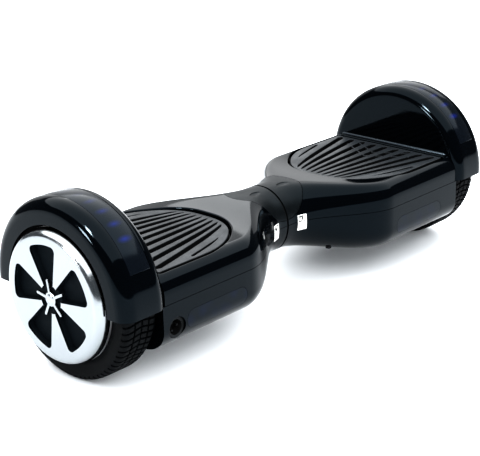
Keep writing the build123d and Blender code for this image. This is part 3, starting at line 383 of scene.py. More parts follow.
def skin(name, upper, start_x, end_x, side, base_z=None, closed_end=True, outer=0.0, inner=WALL):
    """A thin shell along the body, with a wall at its wheel end."""
    base = PARTING_Z if base_z is None else base_z
    stations = skin_stations(start_x, end_x)
    points = []
    for x in stations:
        outside = arch_points(x, upper, outer, base)
        inside = arch_points(x, upper, inner, base)
        points += outside + list(reversed(inside))
    count = len(outside) * 2
    rows = len(stations)
    faces = loop_faces(rows, count) + channel_ends(rows, count)
    piece = fix_normals(make_object(name, points, faces, side))
    if closed_end:
        rim = [(y, z - AXLE_Z) for _, y, z in arch_points(end_x, upper, WALL / 2, base)]
        wall = prism("end_wall", rim, end_x - WALL, end_x, along_axle, side)
        hole = circle(WHEEL_HOLE_R)
        combine(wall, [prism("axle_hole", hole, end_x - 3 * WALL, end_x + WALL, along_axle, side)])
        combine(piece, [wall], "UNION")
    return piece


def recess_outline(inset=0.0):
    """Plan outline of the footpad recess."""
    tip_x, tip = RECESS_TIP
    corners = [(tip_x, -tip), (RECESS_CORNER_X, -RECESS_HALF), (RECESS_END_X, -RECESS_HALF),
               (RECESS_END_X, RECESS_HALF), (RECESS_CORNER_X, RECESS_HALF), (tip_x, tip)]
    rounds = list(RECESS_ROUNDS)
    outline = refine(rounded_polygon(corners, rounds + rounds[::-1]), 4.0)
    return grow(outline, -inset) if inset else outline


# ================= materials =================
COOL_TINT = (0.68, 0.87, 1.0)      # the cool cast of the photograph's reflections


class Recipe:
    """A new material, with short ways to add nodes to it."""

    def __init__(self, name):
        self.material = bpy.data.materials.new(name)
        self.material.use_nodes = True
        self.tree = self.material.node_tree
        self.shader = self.tree.nodes["Principled BSDF"]
        self.coords = self.tree.nodes.new("ShaderNodeTexCoord").outputs["Object"]

    def feed(self, socket, value):
        """Link a socket to another node's output, or set it to a constant."""
        if hasattr(value, "is_output"):
            self.tree.links.new(value, socket)
        elif socket.type == "RGBA":
            socket.default_value = (*value, 1.0)
        else:
            socket.default_value = value

    def node(self, kind, **values):
        """A node, with keywords for its inputs or else for its own settings."""
        made = self.tree.nodes.new(kind)
        for key, value in values.items():
            if key.replace("_", " ") in made.inputs:
                self.feed(made.inputs[key.replace("_", " ")], value)
            else:
                setattr(made, key, value)
        return made

    def surface(self, **values):
        """Set or link the shader's sockets."""
        for key, value in values.items():
            self.feed(self.shader.inputs[key.replace("_", " ")], value)

    def axis(self, name):
        return self.node("ShaderNodeSeparateXYZ", Vector=self.coords).outputs[name]

    def noise(self, scale, detail=4.0, roughness=0.55, coords=None):
        return self.node("ShaderNodeTexNoise", Vector=coords or self.coords, Scale=scale, Detail=detail,
                         Roughness=roughness).outputs["Fac"]

    def ramp(self, value, low, high, at_low=0.0, at_high=1.0):
        """Map a value between two limits to a value between two others."""
        return self.node("ShaderNodeMapRange", clamp=True, Value=value, From_Min=at_low,
                         From_Max=at_high, To_Min=low, To_Max=high).outputs["Result"]

    def mix(self, factor, first, second):
        """Mix two colours."""
        made = self.node("ShaderNodeMix", data_type="RGBA", Factor=factor)
        self.feed(made.inputs[6], first)
        self.feed(made.inputs[7], second)
        return made.outputs[2]

    def calc(self, operation, first, second=0.0):
        made = self.node("ShaderNodeMath", operation=operation)
        self.feed(made.inputs[0], first)
        self.feed(made.inputs[1], second)
        return made.outputs[0]

    def bump(self, height, strength, distance):
        made = self.node("ShaderNodeBump", Height=height, Strength=strength, Distance=distance)
        self.surface(Normal=made.outputs["Normal"])


def plastic(name, first, second, rough, spread, grain_scale, grain, gloss=0.13):
    """Moulded plastic: slight colour drift, uneven gloss and a fine surface grain."""
    make = Recipe(name)
    make.surface(Base_Color=make.mix(make.noise(18.0), first, second),
                 Roughness=make.ramp(make.noise(45.0, 6.0, 0.6), rough, rough + spread, 0.35, 0.7),
                 Specular_IOR_Level=gloss, Specular_Tint=COOL_TINT)
    make.bump(make.noise(grain_scale, 2.0), grain, 0.0004)
    return make.material


def metal(name, first, second, rough, spread, scale=(1.0, 1.0, 1.0), grain=0.02):
    """Metal with fine machining marks stretched along one direction."""
    make = Recipe(name)
    stretch = make.node("ShaderNodeMapping", Vector=make.coords, Scale=scale)
    marks = make.noise(300.0, 3.0, coords=stretch.outputs["Vector"])
    make.surface(Base_Color=make.mix(make.noise(30.0), first, second), Metallic=1.0,
                 Roughness=make.ramp(marks, rough, rough + spread, 0.3, 0.7))
    make.bump(marks, grain, 0.0002)
    return make.material


def rubber(name, first, second, rough, gloss=0.3):
    """Rubber: matt, dusty in places, with a fine grain."""
    make = Recipe(name)
    dust = make.noise(60.0, 6.0, 0.65)
    make.surface(Base_Color=make.mix(make.ramp(dust, 0.0, 1.0, 0.4, 0.75), first, second),
                 Roughness=make.ramp(dust, rough, rough + 0.15), Specular_IOR_Level=gloss)
    make.bump(make.noise(900.0, 2.0), 0.12, 0.0003)
    return make.material


def ribbed_rubber():
    """Footpad rubber: near black, with a painted sheen that lightens the rib tops to satin grey, and
    smoother there.
    """
    make = Recipe("pad_rubber")
    top = make.ramp(make.axis("Z"), 0.0, 1.0, (PAD_TOP_Z - 0.9) * MM, (PAD_TOP_Z - 0.1) * MM)
    # The mat's top 0.9 mm, broken up by noise, carries the painted sheen on the rib tops.
    painted_top_sheen = make.calc("MULTIPLY", top, make.ramp(make.noise(40.0, 6.0, 0.65), 0.7, 1.0, 0.35, 0.65))
    make.surface(Base_Color=make.mix(painted_top_sheen, (0.0008, 0.0010, 0.0013), (0.026, 0.030, 0.034)),
                 Roughness=make.ramp(painted_top_sheen, 0.75, 0.34), Specular_IOR_Level=0.2)
    make.bump(make.noise(1400.0, 2.0), 0.08, 0.0003)
    return make.material


LED_FIRST = 44.0                    # degrees above the front horizontal, the brightest light
LED_STEP = 10.6
LED_TOTAL = 9
LED_REACH = (0.5 * MM, 6.5 * MM)    # a light's full and no glow, from its middle
LED_STRETCH = (0.62, 1.35)          # scales of the distance across and along the strip
LED_FADE = (0.12, 4.0)              # faintest light, and how many steps off


def smoked_strip():
    """Smoked gloss window with soft blue lights along its middle."""
    make = Recipe("smoked_strip")
    calc = make.calc
    step = radians(LED_STEP)
    across = calc("SUBTRACT", calc("ABSOLUTE", make.axis("X")), (STRIP_IN_X + STRIP_OUT_X) / 2 * MM)
    across = calc("MULTIPLY", across, LED_STRETCH[0])
    angle = calc("ARCTAN2", calc("SUBTRACT", make.axis("Z"), AXLE_Z * MM),
                 calc("MULTIPLY", make.axis("Y"), -1.0))
    place = calc("DIVIDE", calc("SUBTRACT", angle, radians(LED_FIRST)), step)
    nearest = calc("MINIMUM", calc("MAXIMUM", calc("ROUND", place), 0.0), LED_TOTAL - 1.0)
    along = calc("MULTIPLY", calc("SUBTRACT", place, nearest), step * FENDER_R * MM * LED_STRETCH[1])
    spread = calc("ADD", calc("MULTIPLY", across, across), calc("MULTIPLY", along, along))
    glow = calc("POWER", make.ramp(calc("SQRT", spread), 1.0, 0.0, *LED_REACH), 1.6)
    glow = calc("MULTIPLY", glow, make.ramp(nearest, 1.0, LED_FADE[0], 0.0, LED_FADE[1]))
    make.surface(Base_Color=make.mix(glow, (0.004, 0.0055, 0.008), (0.005, 0.010, 0.07)),
                 Emission_Color=make.mix(glow, (0.0, 0.0, 0.0), (0.02, 0.04, 0.6)),
                 Emission_Strength=0.07, Roughness=make.ramp(make.noise(50.0, 5.0), 0.1, 0.2),
                 Specular_IOR_Level=0.15, Specular_Tint=COOL_TINT)
    return make.material


def smoked_lens():
    """Smoked headlight window: dark, with faint blue depth near its middle."""
    make = Recipe("smoked_lens")
    cells = make.node("ShaderNodeTexVoronoi", Vector=make.coords, Scale=75.0).outputs["Distance"]
    depth = make.calc("MULTIPLY", make.ramp(cells, 1.0, 0.0, 0.05, 0.6), make.noise(22.0))
    make.surface(Base_Color=make.mix(depth, (0.0008, 0.0015, 0.003), (0.0012, 0.003, 0.018)),
                 Roughness=make.ramp(make.noise(45.0, 5.0), 0.06, 0.14),
                 Specular_IOR_Level=0.15, Specular_Tint=COOL_TINT)
    return make.material


PRINT_MARGIN = 2.0


def seal_paper():
    """White paper seal with a generic grid of dark specks in its upper part."""
    make = Recipe("seal_paper")
    cells = make.node("ShaderNodeTexVoronoi", Vector=make.coords, Scale=620.0, Randomness=0.0,
                      distance="CHEBYCHEV").outputs["Position"]
    dark = make.calc("GREATER_THAN", make.noise(900.0, 0.0, coords=cells), 0.47)
    x, z = make.calc("ABSOLUTE", make.axis("X")), make.axis("Z")
    for value, test, limit in ((z, "GREATER_THAN", (LABEL_LOW[2] + LABEL_HIGH[2]) / 2),
                               (z, "LESS_THAN", LABEL_HIGH[2] - PRINT_MARGIN),
                               (x, "GREATER_THAN", LABEL_LOW[0] + PRINT_MARGIN),
                               (x, "LESS_THAN", LABEL_HIGH[0] - PRINT_MARGIN)):
        dark = make.calc("MULTIPLY", dark, make.calc(test, value, limit * MM))
    make.surface(Base_Color=make.mix(dark, (0.83, 0.83, 0.81), (0.03, 0.03, 0.03)), Roughness=0.6)
    make.bump(make.noise(700.0), 0.05, 0.0002)
    return make.material


def board_mask():
    """Green solder mask with a pattern of lighter tracks."""
    make = Recipe("circuit_board")
    cells = make.node("ShaderNodeTexVoronoi", Vector=make.coords, Scale=420.0,
                      distance="MANHATTAN").outputs["Distance"]
    make.surface(Base_Color=make.mix(make.ramp(cells, 0.0, 1.0, 0.1, 0.6), (0.03, 0.2, 0.08),
                                     (0.015, 0.09, 0.04)), Roughness=0.4)
    return make.material


GLOSS = plastic("gloss_black", (0.0006, 0.0011, 0.0018), (0.0010, 0.0018, 0.0028), 0.05, 0.05,
                700.0, 0.012)
SATIN = plastic("satin_cap", (0.003, 0.0038, 0.0045), (0.005, 0.006, 0.0065), 0.3, 0.12, 1500.0, 0.05)
COVER = plastic("black_cover", (0.004, 0.006, 0.008), (0.006, 0.008, 0.010), 0.55, 0.12, 1800.0, 0.06,
                gloss=0.06)
BEAD = plastic("trim_bead", (0.014, 0.017, 0.021), (0.020, 0.023, 0.027), 0.25, 0.1, 1500.0, 0.05,
               gloss=0.4)
SOCKET = plastic("socket_black", (0.008, 0.008, 0.008), (0.012, 0.012, 0.012), 0.45, 0.15,
                 1500.0, 0.06)
WRAP = plastic("battery_wrap", (0.02, 0.09, 0.35), (0.03, 0.11, 0.4), 0.3, 0.1, 300.0, 0.05)
POLISHED = metal("polished_alloy", (0.28, 0.298, 0.31), (0.33, 0.348, 0.36), 0.14, 0.08,
                 (0.06, 1.0, 1.0), 0.01)
CAST = metal("cast_alloy", (0.5, 0.5, 0.51), (0.62, 0.62, 0.63), 0.42, 0.2, grain=0.12)
STEEL = metal("bare_steel", (0.45, 0.45, 0.46), (0.55, 0.55, 0.56), 0.25, 0.15, (0.1, 1.0, 1.0), 0.03)
ZINC = metal("zinc_steel", (0.5, 0.5, 0.47), (0.6, 0.6, 0.58), 0.3, 0.15)
SCREW = metal("black_oxide", (0.02, 0.02, 0.022), (0.03, 0.03, 0.032), 0.4, 0.15)
# Alloy coloured near black as painted shade: the chassis seen through the slit between the halves.
PAINTED_SHADE_ALLOY = metal("alloy_painted_shade", (0.012, 0.013, 0.015), (0.02, 0.021, 0.023), 0.45, 0.15)
COPPER = metal("wound_core", (0.6, 0.28, 0.12), (0.7, 0.35, 0.17), 0.35, 0.2, (1.0, 0.2, 0.2), 0.1)
NICKEL = metal("magnet_steel", (0.5, 0.5, 0.52), (0.6, 0.6, 0.62), 0.22, 0.1)
BRONZE = metal("bronze", (0.55, 0.36, 0.17), (0.62, 0.42, 0.2), 0.4, 0.15)
BUTTON = metal("button_metal", (0.12, 0.125, 0.13), (0.17, 0.175, 0.18), 0.3, 0.15, (1.0, 0.1, 1.0))
PAD = ribbed_rubber()
TYRE = rubber("tyre_rubber", (0.0010, 0.0015, 0.002), (0.003, 0.004, 0.005), 0.6, gloss=0.1)
SEAL = rubber("seal_rubber", (0.006, 0.006, 0.006), (0.01, 0.01, 0.01), 0.5)
CABLE = rubber("cable_rubber", (0.012, 0.012, 0.012), (0.018, 0.018, 0.018), 0.5)
STRIP = smoked_strip()
LENS = smoked_lens()
PAPER = seal_paper()
BOARD = board_mask()


# ================= pieces =================
RIM_ROUND = 1.6        # rounding of the recess rim
RIM_STEPS = 5


def recess_pan(side):
    """Rounded rim, walls and floor of the footpad recess."""
    rows = []
    for k in range(RIM_STEPS + 1):
        angle = pi / 2 * k / RIM_STEPS
        loop = recess_outline(-RIM_ROUND * (1 - sin(angle)))
        rows.append([(x, y, skin_z(x, y) - RIM_ROUND * (1 - cos(angle))) for x, y in loop])
    rows.append([(x, y, RECESS_Z + 1.0) for x, y in recess_outline(0.0)])
    floor_loop = recess_outline(1.0)
    floor_row = len(rows)
    rows += [[(x, y, z) for x, y in floor_loop] for z in (RECESS_Z, RECESS_Z - WALL)]
    back = recess_outline(-WALL)
    rows.append([(x, y, RECESS_Z - WALL) for x, y in back])
    rows.append([(x, y, min(PLATFORM_Z - WALL, skin_z(x, y) - 1.0)) for x, y in back])
    count = len(back)
    faces = loop_faces(len(rows), count)
    faces.append(tuple(floor_row * count + k for k in range(count)))
    faces.append(tuple(reversed([(floor_row + 1) * count + k for k in range(count)])))
    return make_object("recess_pan", [p for row in rows for p in row], faces, side)


def cap_ball(name, gap, side, rings=48, steps=96):
    """The ball that trims the neck cap."""
    middle_z = PARTING_Z + NECK_R - CAP_DROP
    radius = sqrt(CAP_REACH ** 2 + CAP_DROP ** 2) + gap
    points = [(CAP_CENTRE_X, 0.0, middle_z + radius), (CAP_CENTRE_X, 0.0, middle_z - radius)]
    for ring in range(1, rings):
        tilt = pi * ring / rings
        points += [(CAP_CENTRE_X + radius * sin(tilt) * cos(2 * pi * k / steps),
                    radius * sin(tilt) * sin(2 * pi * k / steps), middle_z + radius * cos(tilt))
                   for k in range(steps)]
    faces = [tuple(i + 2 for i in face) for face in loop_faces(rings - 1, steps)]
    last = 2 + (rings - 2) * steps
    faces += [(0, 2 + k, 2 + (k + 1) % steps) for k in range(steps)]
    faces += [(1, last + (k + 1) % steps, last + k) for k in range(steps)]
    return fix_normals(make_object(name, points, faces, side))


def upper_shell(name, side):
    shell = skin(name + "_shell", True, NECK_END_X, UPPER_END_X, side)
    recess = prism("recess_cut", recess_outline(-RIM_ROUND), RECESS_Z - 2 * OVERCUT,
                   PLATFORM_Z + 3 * OVERCUT, flat_up, side)
    combine(shell, [recess, cap_ball("cap_cut", SEAM, side)])
    whole = join(name + "_upper_shell_skin", [shell, recess_pan(side)])
    shade(whole)
    dress(whole, GLOSS, name + "_half", "gloss_black", name + "_upper_shell")


def neck_cap(name, side):
    shell = skin(name + "_neck_cap_skin", True, NECK_END_X, CAP_END_X + 3, side, closed_end=False)
    combine(shell, [cap_ball("cap_keep", 0.0, side)], "INTERSECT")
    combine(shell, [lamp_dimple(side)])
    shade(shell)
    dress(shell, SATIN, name + "_half", "satin_cap", name + "_neck_cap")


DIMPLE_CENTRE = (21.0, -11.0)
DIMPLE_SIZE = (9.0, 5.0, 1.1)
DIMPLE_LIFT = 0.4            # its middle above the skin
DIMPLE_STEPS, DIMPLE_RINGS = 40, 12


def lamp_dimple(side):
    """Shallow oval hollow on top of the neck cap, over the status lamp."""
    (middle_x, middle_y), (long, wide, deep) = DIMPLE_CENTRE, DIMPLE_SIZE
    top = skin_z(middle_x, middle_y) + DIMPLE_LIFT
    points = []
    for ring in range(1, DIMPLE_RINGS):
        tilt = pi * ring / DIMPLE_RINGS
        points += [(middle_x + x * sin(tilt), middle_y + y * sin(tilt), top + deep * cos(tilt))
                   for x, y in ((long * a, wide * b) for a, b in circle(1.0, DIMPLE_STEPS))]
    faces = loop_faces(DIMPLE_RINGS - 1, DIMPLE_STEPS)
    faces.append(tuple(reversed(range(DIMPLE_STEPS))))
    faces.append(tuple((DIMPLE_RINGS - 2) * DIMPLE_STEPS + k for k in range(DIMPLE_STEPS)))
    return fix_normals(make_object("dimple", points, faces, side))


def slot_outline(centre, length, height, steps=24):
    """Outline of a slot with round ends."""
    radius = height / 2
    outline = []
    for turn in (1, -1):
        middle = centre[0] + turn * (length / 2 - radius)
        start = -turn * pi / 2
        outline += [(middle + radius * cos(start + pi * k / steps),
                     centre[1] + radius * sin(start + pi * k / steps)) for k in range(steps + 1)]
    return outline


LENS_CENTRE = ((LENS_LOW[0] + LENS_HIGH[0]) / 2, (LENS_LOW[2] + LENS_HIGH[2]) / 2)
LENS_LENGTH, LENS_HEIGHT = LENS_HIGH[0] - LENS_LOW[0], LENS_HIGH[2] - LENS_LOW[2]
LENS_WALL = 2.0
SCREWS = [(x, turn * y) for x, y in ((62, 40), (128, 64), (196, 64)) for turn in (1, -1)]
SCREW_HOLE_R, SCREW_HOLE_DEPTH = 3.5, 9.0
PORT_CENTRE = ((PORT_LOW[0] + PORT_HIGH[0]) / 2, (PORT_LOW[2] + PORT_HIGH[2]) / 2)
PORT_R = (PORT_HIGH[0] - PORT_LOW[0]) / 2
BUTTON_CENTRE = ((BUTTON_LOW[0] + BUTTON_HIGH[0]) / 2, (BUTTON_LOW[2] + BUTTON_HIGH[2]) / 2)
BUTTON_R = 6.0
FRONT_Y = -BODY_HALF_WIDTH - OVERCUT       # where the cutters through the front flank start


def lower_shell(name, side):
    shell = skin(name + "_lower_shell_skin", False, NECK_END_X, LOWER_END_X, side,
                 base_z=PARTING_Z - SEAM)
    window = slot_outline(LENS_CENTRE, LENS_LENGTH + SEAM, LENS_HEIGHT + SEAM)
    cutters = [prism("window", window, FRONT_Y, FRONT_Y + 4 * OVERCUT, facing_front, side)]
    cutters += [prism("screw_hole", circle(SCREW_HOLE_R, 32, place), BELLY_Z - OVERCUT,
                      BELLY_Z + SCREW_HOLE_DEPTH, flat_up, side) for place in SCREWS]
    if side < 0:
        hole = circle(PORT_R + SEAM / 2, 48, (-PORT_CENTRE[0], PORT_CENTRE[1]))
        cutters.append(prism("port_hole", hole, FRONT_Y, FRONT_Y + 4 * OVERCUT, facing_front, side))
    else:
        hole = circle(BUTTON_R + SEAM / 2, 48, BUTTON_CENTRE)
        cutters.append(prism("button_hole", hole, -FRONT_Y - 3 * OVERCUT, -FRONT_Y, facing_front, side))
    combine(shell, cutters)
    shade(shell)
    dress(shell, GLOSS, name + "_half", "gloss_black", name + "_lower_shell")


def headlight_lens(name, side):
    lens = skin(name + "_lens_skin", False, LENS_LOW[0] - OVERCUT, LENS_HIGH[0] + OVERCUT, side,
                closed_end=False, inner=LENS_WALL)
    keep = prism("lens_keep", slot_outline(LENS_CENTRE, LENS_LENGTH, LENS_HEIGHT), FRONT_Y,
                 FRONT_Y + 4.5 * OVERCUT, facing_front, side)
    combine(lens, [keep], "INTERSECT")
    shade(lens)
    dress(lens, LENS, name + "_half", "smoked_lens", name + "_headlight_lens")


FENDER_WALL = 2.4
FENDER_ROUNDS = (12.0, 14.0)
HUB_OPENING_R = 68.5
FENDER_STEPS = 120


def fender_profile(inset, steps=12):
    """Points (x, radius) over the fender's channel, from its inner wall to its outer wall."""
    in_round, out_round = (r - inset for r in FENDER_ROUNDS)
    in_x, out_x, top = FENDER_IN_X + inset, FENDER_OUT_X - inset, FENDER_R - inset
    in_centre, out_centre = in_x + in_round, out_x - out_round
    quarter = [pi / 2 * k / steps for k in range(steps + 1)]
    wall = top - in_round - WHEEL_HOLE_R
    profile = [(in_x, WHEEL_HOLE_R + wall * k / 6) for k in range(6)]
    profile += [(in_centre + in_round * cos(pi - turn), top - in_round + in_round * sin(pi - turn))
                for turn in quarter]
    profile += [(in_centre + (out_centre - in_centre) * k / 6, top) for k in range(1, 6)]
    profile += [(out_centre + out_round * cos(pi / 2 - turn),
                 top - out_round + out_round * sin(pi / 2 - turn)) for turn in quarter]
    profile.append((out_x, HUB_OPENING_R))
    return profile


def fender(name, side):
    ring = fender_profile(0.0) + list(reversed(fender_profile(FENDER_WALL)))
    below = AXLE_Z - PARTING_Z
    points = []
    for step in range(FENDER_STEPS + 1):
        for x, radius in ring:
            dip = -atan2(below, sqrt(max(radius ** 2 - below ** 2, 1.0)))
            angle = dip + (pi - 2 * dip) * step / FENDER_STEPS
            points.append((x, -radius * cos(angle), AXLE_Z + radius * sin(angle)))
    count = len(ring)
    faces = loop_faces(FENDER_STEPS + 1, count) + channel_ends(FENDER_STEPS + 1, count)
    piece = fix_normals(make_object(name + "_fender_skin", points, faces, side))
    cut = crest_band("crest_cut", FENDER_R + 3, FENDER_R - FENDER_WALL - 2, -SEAM / 2, side)
    combine(piece, [cut])
    shade(piece)
    dress(piece, GLOSS, name + "_half", "gloss_black", name + "_fender")


def crest_band(name, outer_r, inner_r, inset, side):
    """Arc of the crest between the two seams, ending level with the strip's ends."""
    in_x, out_x = STRIP_IN_X + inset, STRIP_OUT_X - inset
    low = STRIP_END_Z + inset - AXLE_Z
    points = []
    section = ((in_x, inner_r), (in_x, outer_r), (out_x, outer_r), (out_x, inner_r))
    for step in range(FENDER_STEPS + 1):
        for x, radius in section:
            end = atan2(low, sqrt(radius ** 2 - low ** 2))
            angle = end + (pi - 2 * end) * step / FENDER_STEPS
            points.append((x, -radius * cos(angle), AXLE_Z + radius * sin(angle)))
    faces = loop_faces(FENDER_STEPS + 1, 4)
    faces += [(0, 1, 2, 3), tuple(reversed([FENDER_STEPS * 4 + k for k in range(4)]))]
    return fix_normals(make_object(name, points, faces, side))


def light_strip(name, side):
    strip = crest_band(name + "_strip_window", FENDER_R, FENDER_R - FENDER_WALL, SEAM / 4, side)
    soften(strip, 0.35, 2, 50)
    shade(strip, 40)
    dress(strip, STRIP, name + "_half", "smoked_strip", name + "_light_strip")


BEAD_R, BEAD_STEPS = 1.9, 10
BEAD_HALF = RECESS_HALF - 2.0
BEAD_END, BEAD_TIP = 3.0, 0.35      # length of its tapered ends, and their size at the tip


def foot_bead(name, side):
    """Thin trim bead where the fender's inner wall meets the platform."""
    centre_x, centre_z = FENDER_IN_X - BEAD_R * 0.3, PLATFORM_Z + 0.6
    points = []
    for y in (-BEAD_HALF, BEAD_END - BEAD_HALF, BEAD_HALF - BEAD_END, BEAD_HALF):
        size = BEAD_R * (BEAD_TIP if abs(y) == BEAD_HALF else 1.0)
        points += [(x, y, z) for x, z in circle(size, BEAD_STEPS, (centre_x, centre_z))]
    faces = loop_faces(4, BEAD_STEPS)
    faces += [tuple(range(BEAD_STEPS)), tuple(reversed(range(3 * BEAD_STEPS, 4 * BEAD_STEPS)))]
    bead = fix_normals(make_object(name + "_foot_bead", points, faces, side))
    shade(bead, 60)
    dress(bead, BEAD, name + "_half", "satin_cap")


LABEL_TRIM = (1.3, 1.5)      # paper smaller than its CAD sheet, along X and Z
LABEL_LIFT = (0.28, 0.03)    # its outer and inner face off the skin


def seal_label(name, side):
    """Thin paper seal wrapped over the front of the neck."""
    low_x, high_x = LABEL_LOW[0] + LABEL_TRIM[0], LABEL_HIGH[0] - LABEL_TRIM[0]
    low_z, high_z = LABEL_LOW[2] + LABEL_TRIM[1], LABEL_HIGH[2] - LABEL_TRIM[1]
    across, along = 10, 14
    points = []
    for lift in LABEL_LIFT:
        for row in range(along + 1):
            z = low_z + (high_z - low_z) * row / along
            for col in range(across + 1):
                x = low_x + (high_x - low_x) * col / across
                half, crown, round_y, round_z = arch_sizes(x, z > PARTING_Z)
                spring = crown - round_z if z > PARTING_Z else crown + round_z
                into = abs(z - spring) / round_z if (z - spring) * (z - PARTING_Z) > 0 else 0.0
                y = half - round_y * (1 - sqrt(1 - into * into))
                points.append((x, -y - lift, z))
    width = across + 1
    count = width * (along + 1)
    faces = loop_faces(along + 1, width, closed_loop=False)
    faces += [tuple(reversed([i + count for i in face])) for face in faces]
    edge = [*range(width)] + [row * width + across for row in range(1, along + 1)]
    edge += [along * width + across - k for k in range(1, width)]
    edge += [row * width for row in range(along - 1, 0, -1)]
    for k, first in enumerate(edge):
        second = edge[(k + 1) % len(edge)]
        faces.append((second, first, first + count, second + count))
    paper = fix_normals(make_object(name + "_paper_seal", points, faces, side))
    shade(paper, 40)
    dress(paper, PAPER, name + "_half", "label_paper", name + "_seal_label")


GAP_LIP_R = (34.4, 18.0)        # dark gap lip's outer radius and the hole round the pivot shaft
LIP_CLEARANCE = 0.02


def gap_shade_lip():
    """Thin dark rubber lip, painted shade that closes the slit between the seal ring and the right half.
    """
    centre = (0.0, PARTING_Z - AXLE_Z)
    outer, inner = circle(GAP_LIP_R[0], 96, centre), circle(GAP_LIP_R[1], 64, centre)
    lip = prism("pivot_seal_lip", outer, SEAL_END_X - 0.1, NECK_END_X - LIP_CLEARANCE, along_axle)
    combine(lip, [prism("lip_hole", inner, -NECK_END_X, 3 * NECK_END_X, along_axle)])
    shade(lip)
    dress(lip, SEAL, "left_half", "seal_rubber")


# ---- footpad ----
GROOVE_COUNT = 9
GROOVE_DEPTH = 4.4
GROOVE_SPREAD = (31.0, 66.0)     # outermost groove's distance from the middle, at its two ends
GROOVE_START = 5.0               # from the mat's edge beside the neck
GROOVE_END = 6.0                 # from the recess's end
PAD_EDGE, EDGE_STEPS = 1.0, 4
CORNER_GROOVE = ((124.0, 54.0), (176.0, 69.0))
CHEVRON_TIPS = (176.0, 192.0)
CHEVRON_RUN, CHEVRON_HALF = (26.0, 44.0), 0.8


def tapered(start, end, bend, half_start, half_end, steps=26):
    """Outline of a groove that widens from a narrow end to a wide one, both rounded."""
    upper, lower = [], []
    for k in range(steps + 1):
        t = k / steps
        widen = min(t * 3, 1.0)
        taper = sqrt(max(1 - (max(t - 0.96, 0) / 0.04) ** 2, 0.01)) * sqrt(min(t / 0.02 + 0.1, 1.0))
        half = (half_start + (half_end - half_start) * (0.8 * widen + 0.2 * t)) * taper
        x = start[0] + (end[0] - start[0]) * t
        y = start[1] + (end[1] - start[1]) * t ** bend
        upper.append((x, y + half))
        lower.append((x, y - half))
    return lower + list(reversed(upper))


def groove_outline(index):
    """Tapered groove of the mat: narrow beside the neck, wider at the wheel."""
    share = (index - (GROOVE_COUNT - 1) / 2) / ((GROOVE_COUNT - 1) / 2)
    start_y = share * GROOVE_SPREAD[0]
    end_y = share * GROOVE_SPREAD[1]
    tip_round = RECESS_ROUNDS[0]
    off_tip = max(abs(start_y) - 8.0, 0.0)
    start_x = RECESS_TIP[0] + tip_round - sqrt(tip_round ** 2 - off_tip ** 2) + PAD_GAP + GROOVE_START
    return tapered((start_x, start_y), (RECESS_END_X - GROOVE_END, end_y), 0.82, 1.5, 3.7)


def corner_groove(turn):
    """Short lens-shaped groove in the mat's shoulder."""
    start, end = ((x, turn * y) for x, y in CORNER_GROOVE)
    return tapered(start, end, 0.8, 0.6, 1.7)


def footpad(name, side):
    outline = recess_outline(PAD_GAP)
    rows = [[(x, y, z) for x, y in outline] for z in (PAD_Z, PAD_TOP_Z - PAD_EDGE)]
    for k in range(1, EDGE_STEPS + 1):
        angle = pi / 2 * k / EDGE_STEPS
        loop = recess_outline(PAD_GAP + PAD_EDGE * (1 - cos(angle)))
        rows.append([(x, y, PAD_TOP_Z - PAD_EDGE * (1 - sin(angle))) for x, y in loop])
    count = len(outline)
    faces = loop_faces(len(rows), count)
    faces.append(tuple(reversed(range(count))))
    faces.append(tuple((len(rows) - 1) * count + k for k in range(count)))
    points = [p for row in rows for p in row]
    mat = fix_normals(make_object(name + "_pad_mat", points, faces, side))
    outlines = [groove_outline(k) for k in range(GROOVE_COUNT)]
    outlines += [corner_groove(turn) for turn in (-1, 1)]
    grooves = [prism("groove", outline, PAD_TOP_Z - GROOVE_DEPTH, PAD_TOP_Z + 2, flat_up, side)
               for outline in outlines]
    combine(mat, [join("grooves", grooves)])
    soften(mat, 0.45, 2, 50)
    whole = join(name + "_pad_mat", [mat] + chevrons(side))
    shade(whole, 40)
    dress(whole, PAD, name + "_pad", "pad_rubber", name + "_footpad")


def chevrons(side):
    """Two thin raised chevrons across the grooves near the wheel."""
    parts = []
    for tip_x in CHEVRON_TIPS:
        for turn in (-1, 1):
            tip, run = Vector((tip_x, 0.0)), Vector((CHEVRON_RUN[0], turn * CHEVRON_RUN[1]))
            across = Vector((-run.y, run.x)).normalized() * CHEVRON_HALF
            outline = [tip - across, tip + run - across, tip + run + across, tip + across]
            parts.append(prism("chevron", outline, PAD_TOP_Z - GROOVE_DEPTH, PAD_TOP_Z - 0.15,
                               flat_up, side))
    return parts


# ---- wheel ----
WINDOW_COUNT = 5
WINDOW_OUT_R = 53.0
WINDOW_HALF_ANGLE = radians(21.3)
WINDOW_THROAT = (13.0, 6.6)
WINDOW_PHASE = radians(27.5)
WINDOW_CROWN = 1.004                       # how far its outer edge bulges
WINDOW_ROUNDS = (0.4, 5.0, 60.0, 5.0, 0.4)
HUB_CENTRE_R = 13.6
COVER_TOP_X = FACE_X - 2.4
SHOULDER = (280.0, 58.5)
STAR = (7.0, 19.5, 1.5)                    # body radius, reach and half width of a ray
STAR_ROOT = 0.21                           # angle from a ray's middle to the body's bare edge
DOME_R = 5.4


def turned(outline, angle):
    """Turn an outline about the axle; the angle starts at the front and goes up."""
    base = pi - angle
    return [(a * cos(base) - b * sin(base), a * sin(base) + b * cos(base)) for a, b in outline]


def window_outline(trim=0.0):
    """Outline of a wheel window, made smaller all round by the trim."""
    radius = WINDOW_OUT_R - trim
    half = WINDOW_HALF_ANGLE - trim / radius
    throat_x, throat = WINDOW_THROAT[0], WINDOW_THROAT[1] - trim
    edge_x, edge = radius * cos(half), radius * sin(half)
    corners = [(throat_x, -throat), (edge_x, -edge), (radius * WINDOW_CROWN, 0), (edge_x, edge),
               (throat_x, throat)]
    return rounded_polygon(corners, WINDOW_ROUNDS, 5)


def window_cutters(trim, low, high, side):
    return [prism("window", turned(window_outline(trim), WINDOW_PHASE + 2 * pi * k / WINDOW_COUNT),
                  low, high, along_axle, side) for k in range(WINDOW_COUNT)]


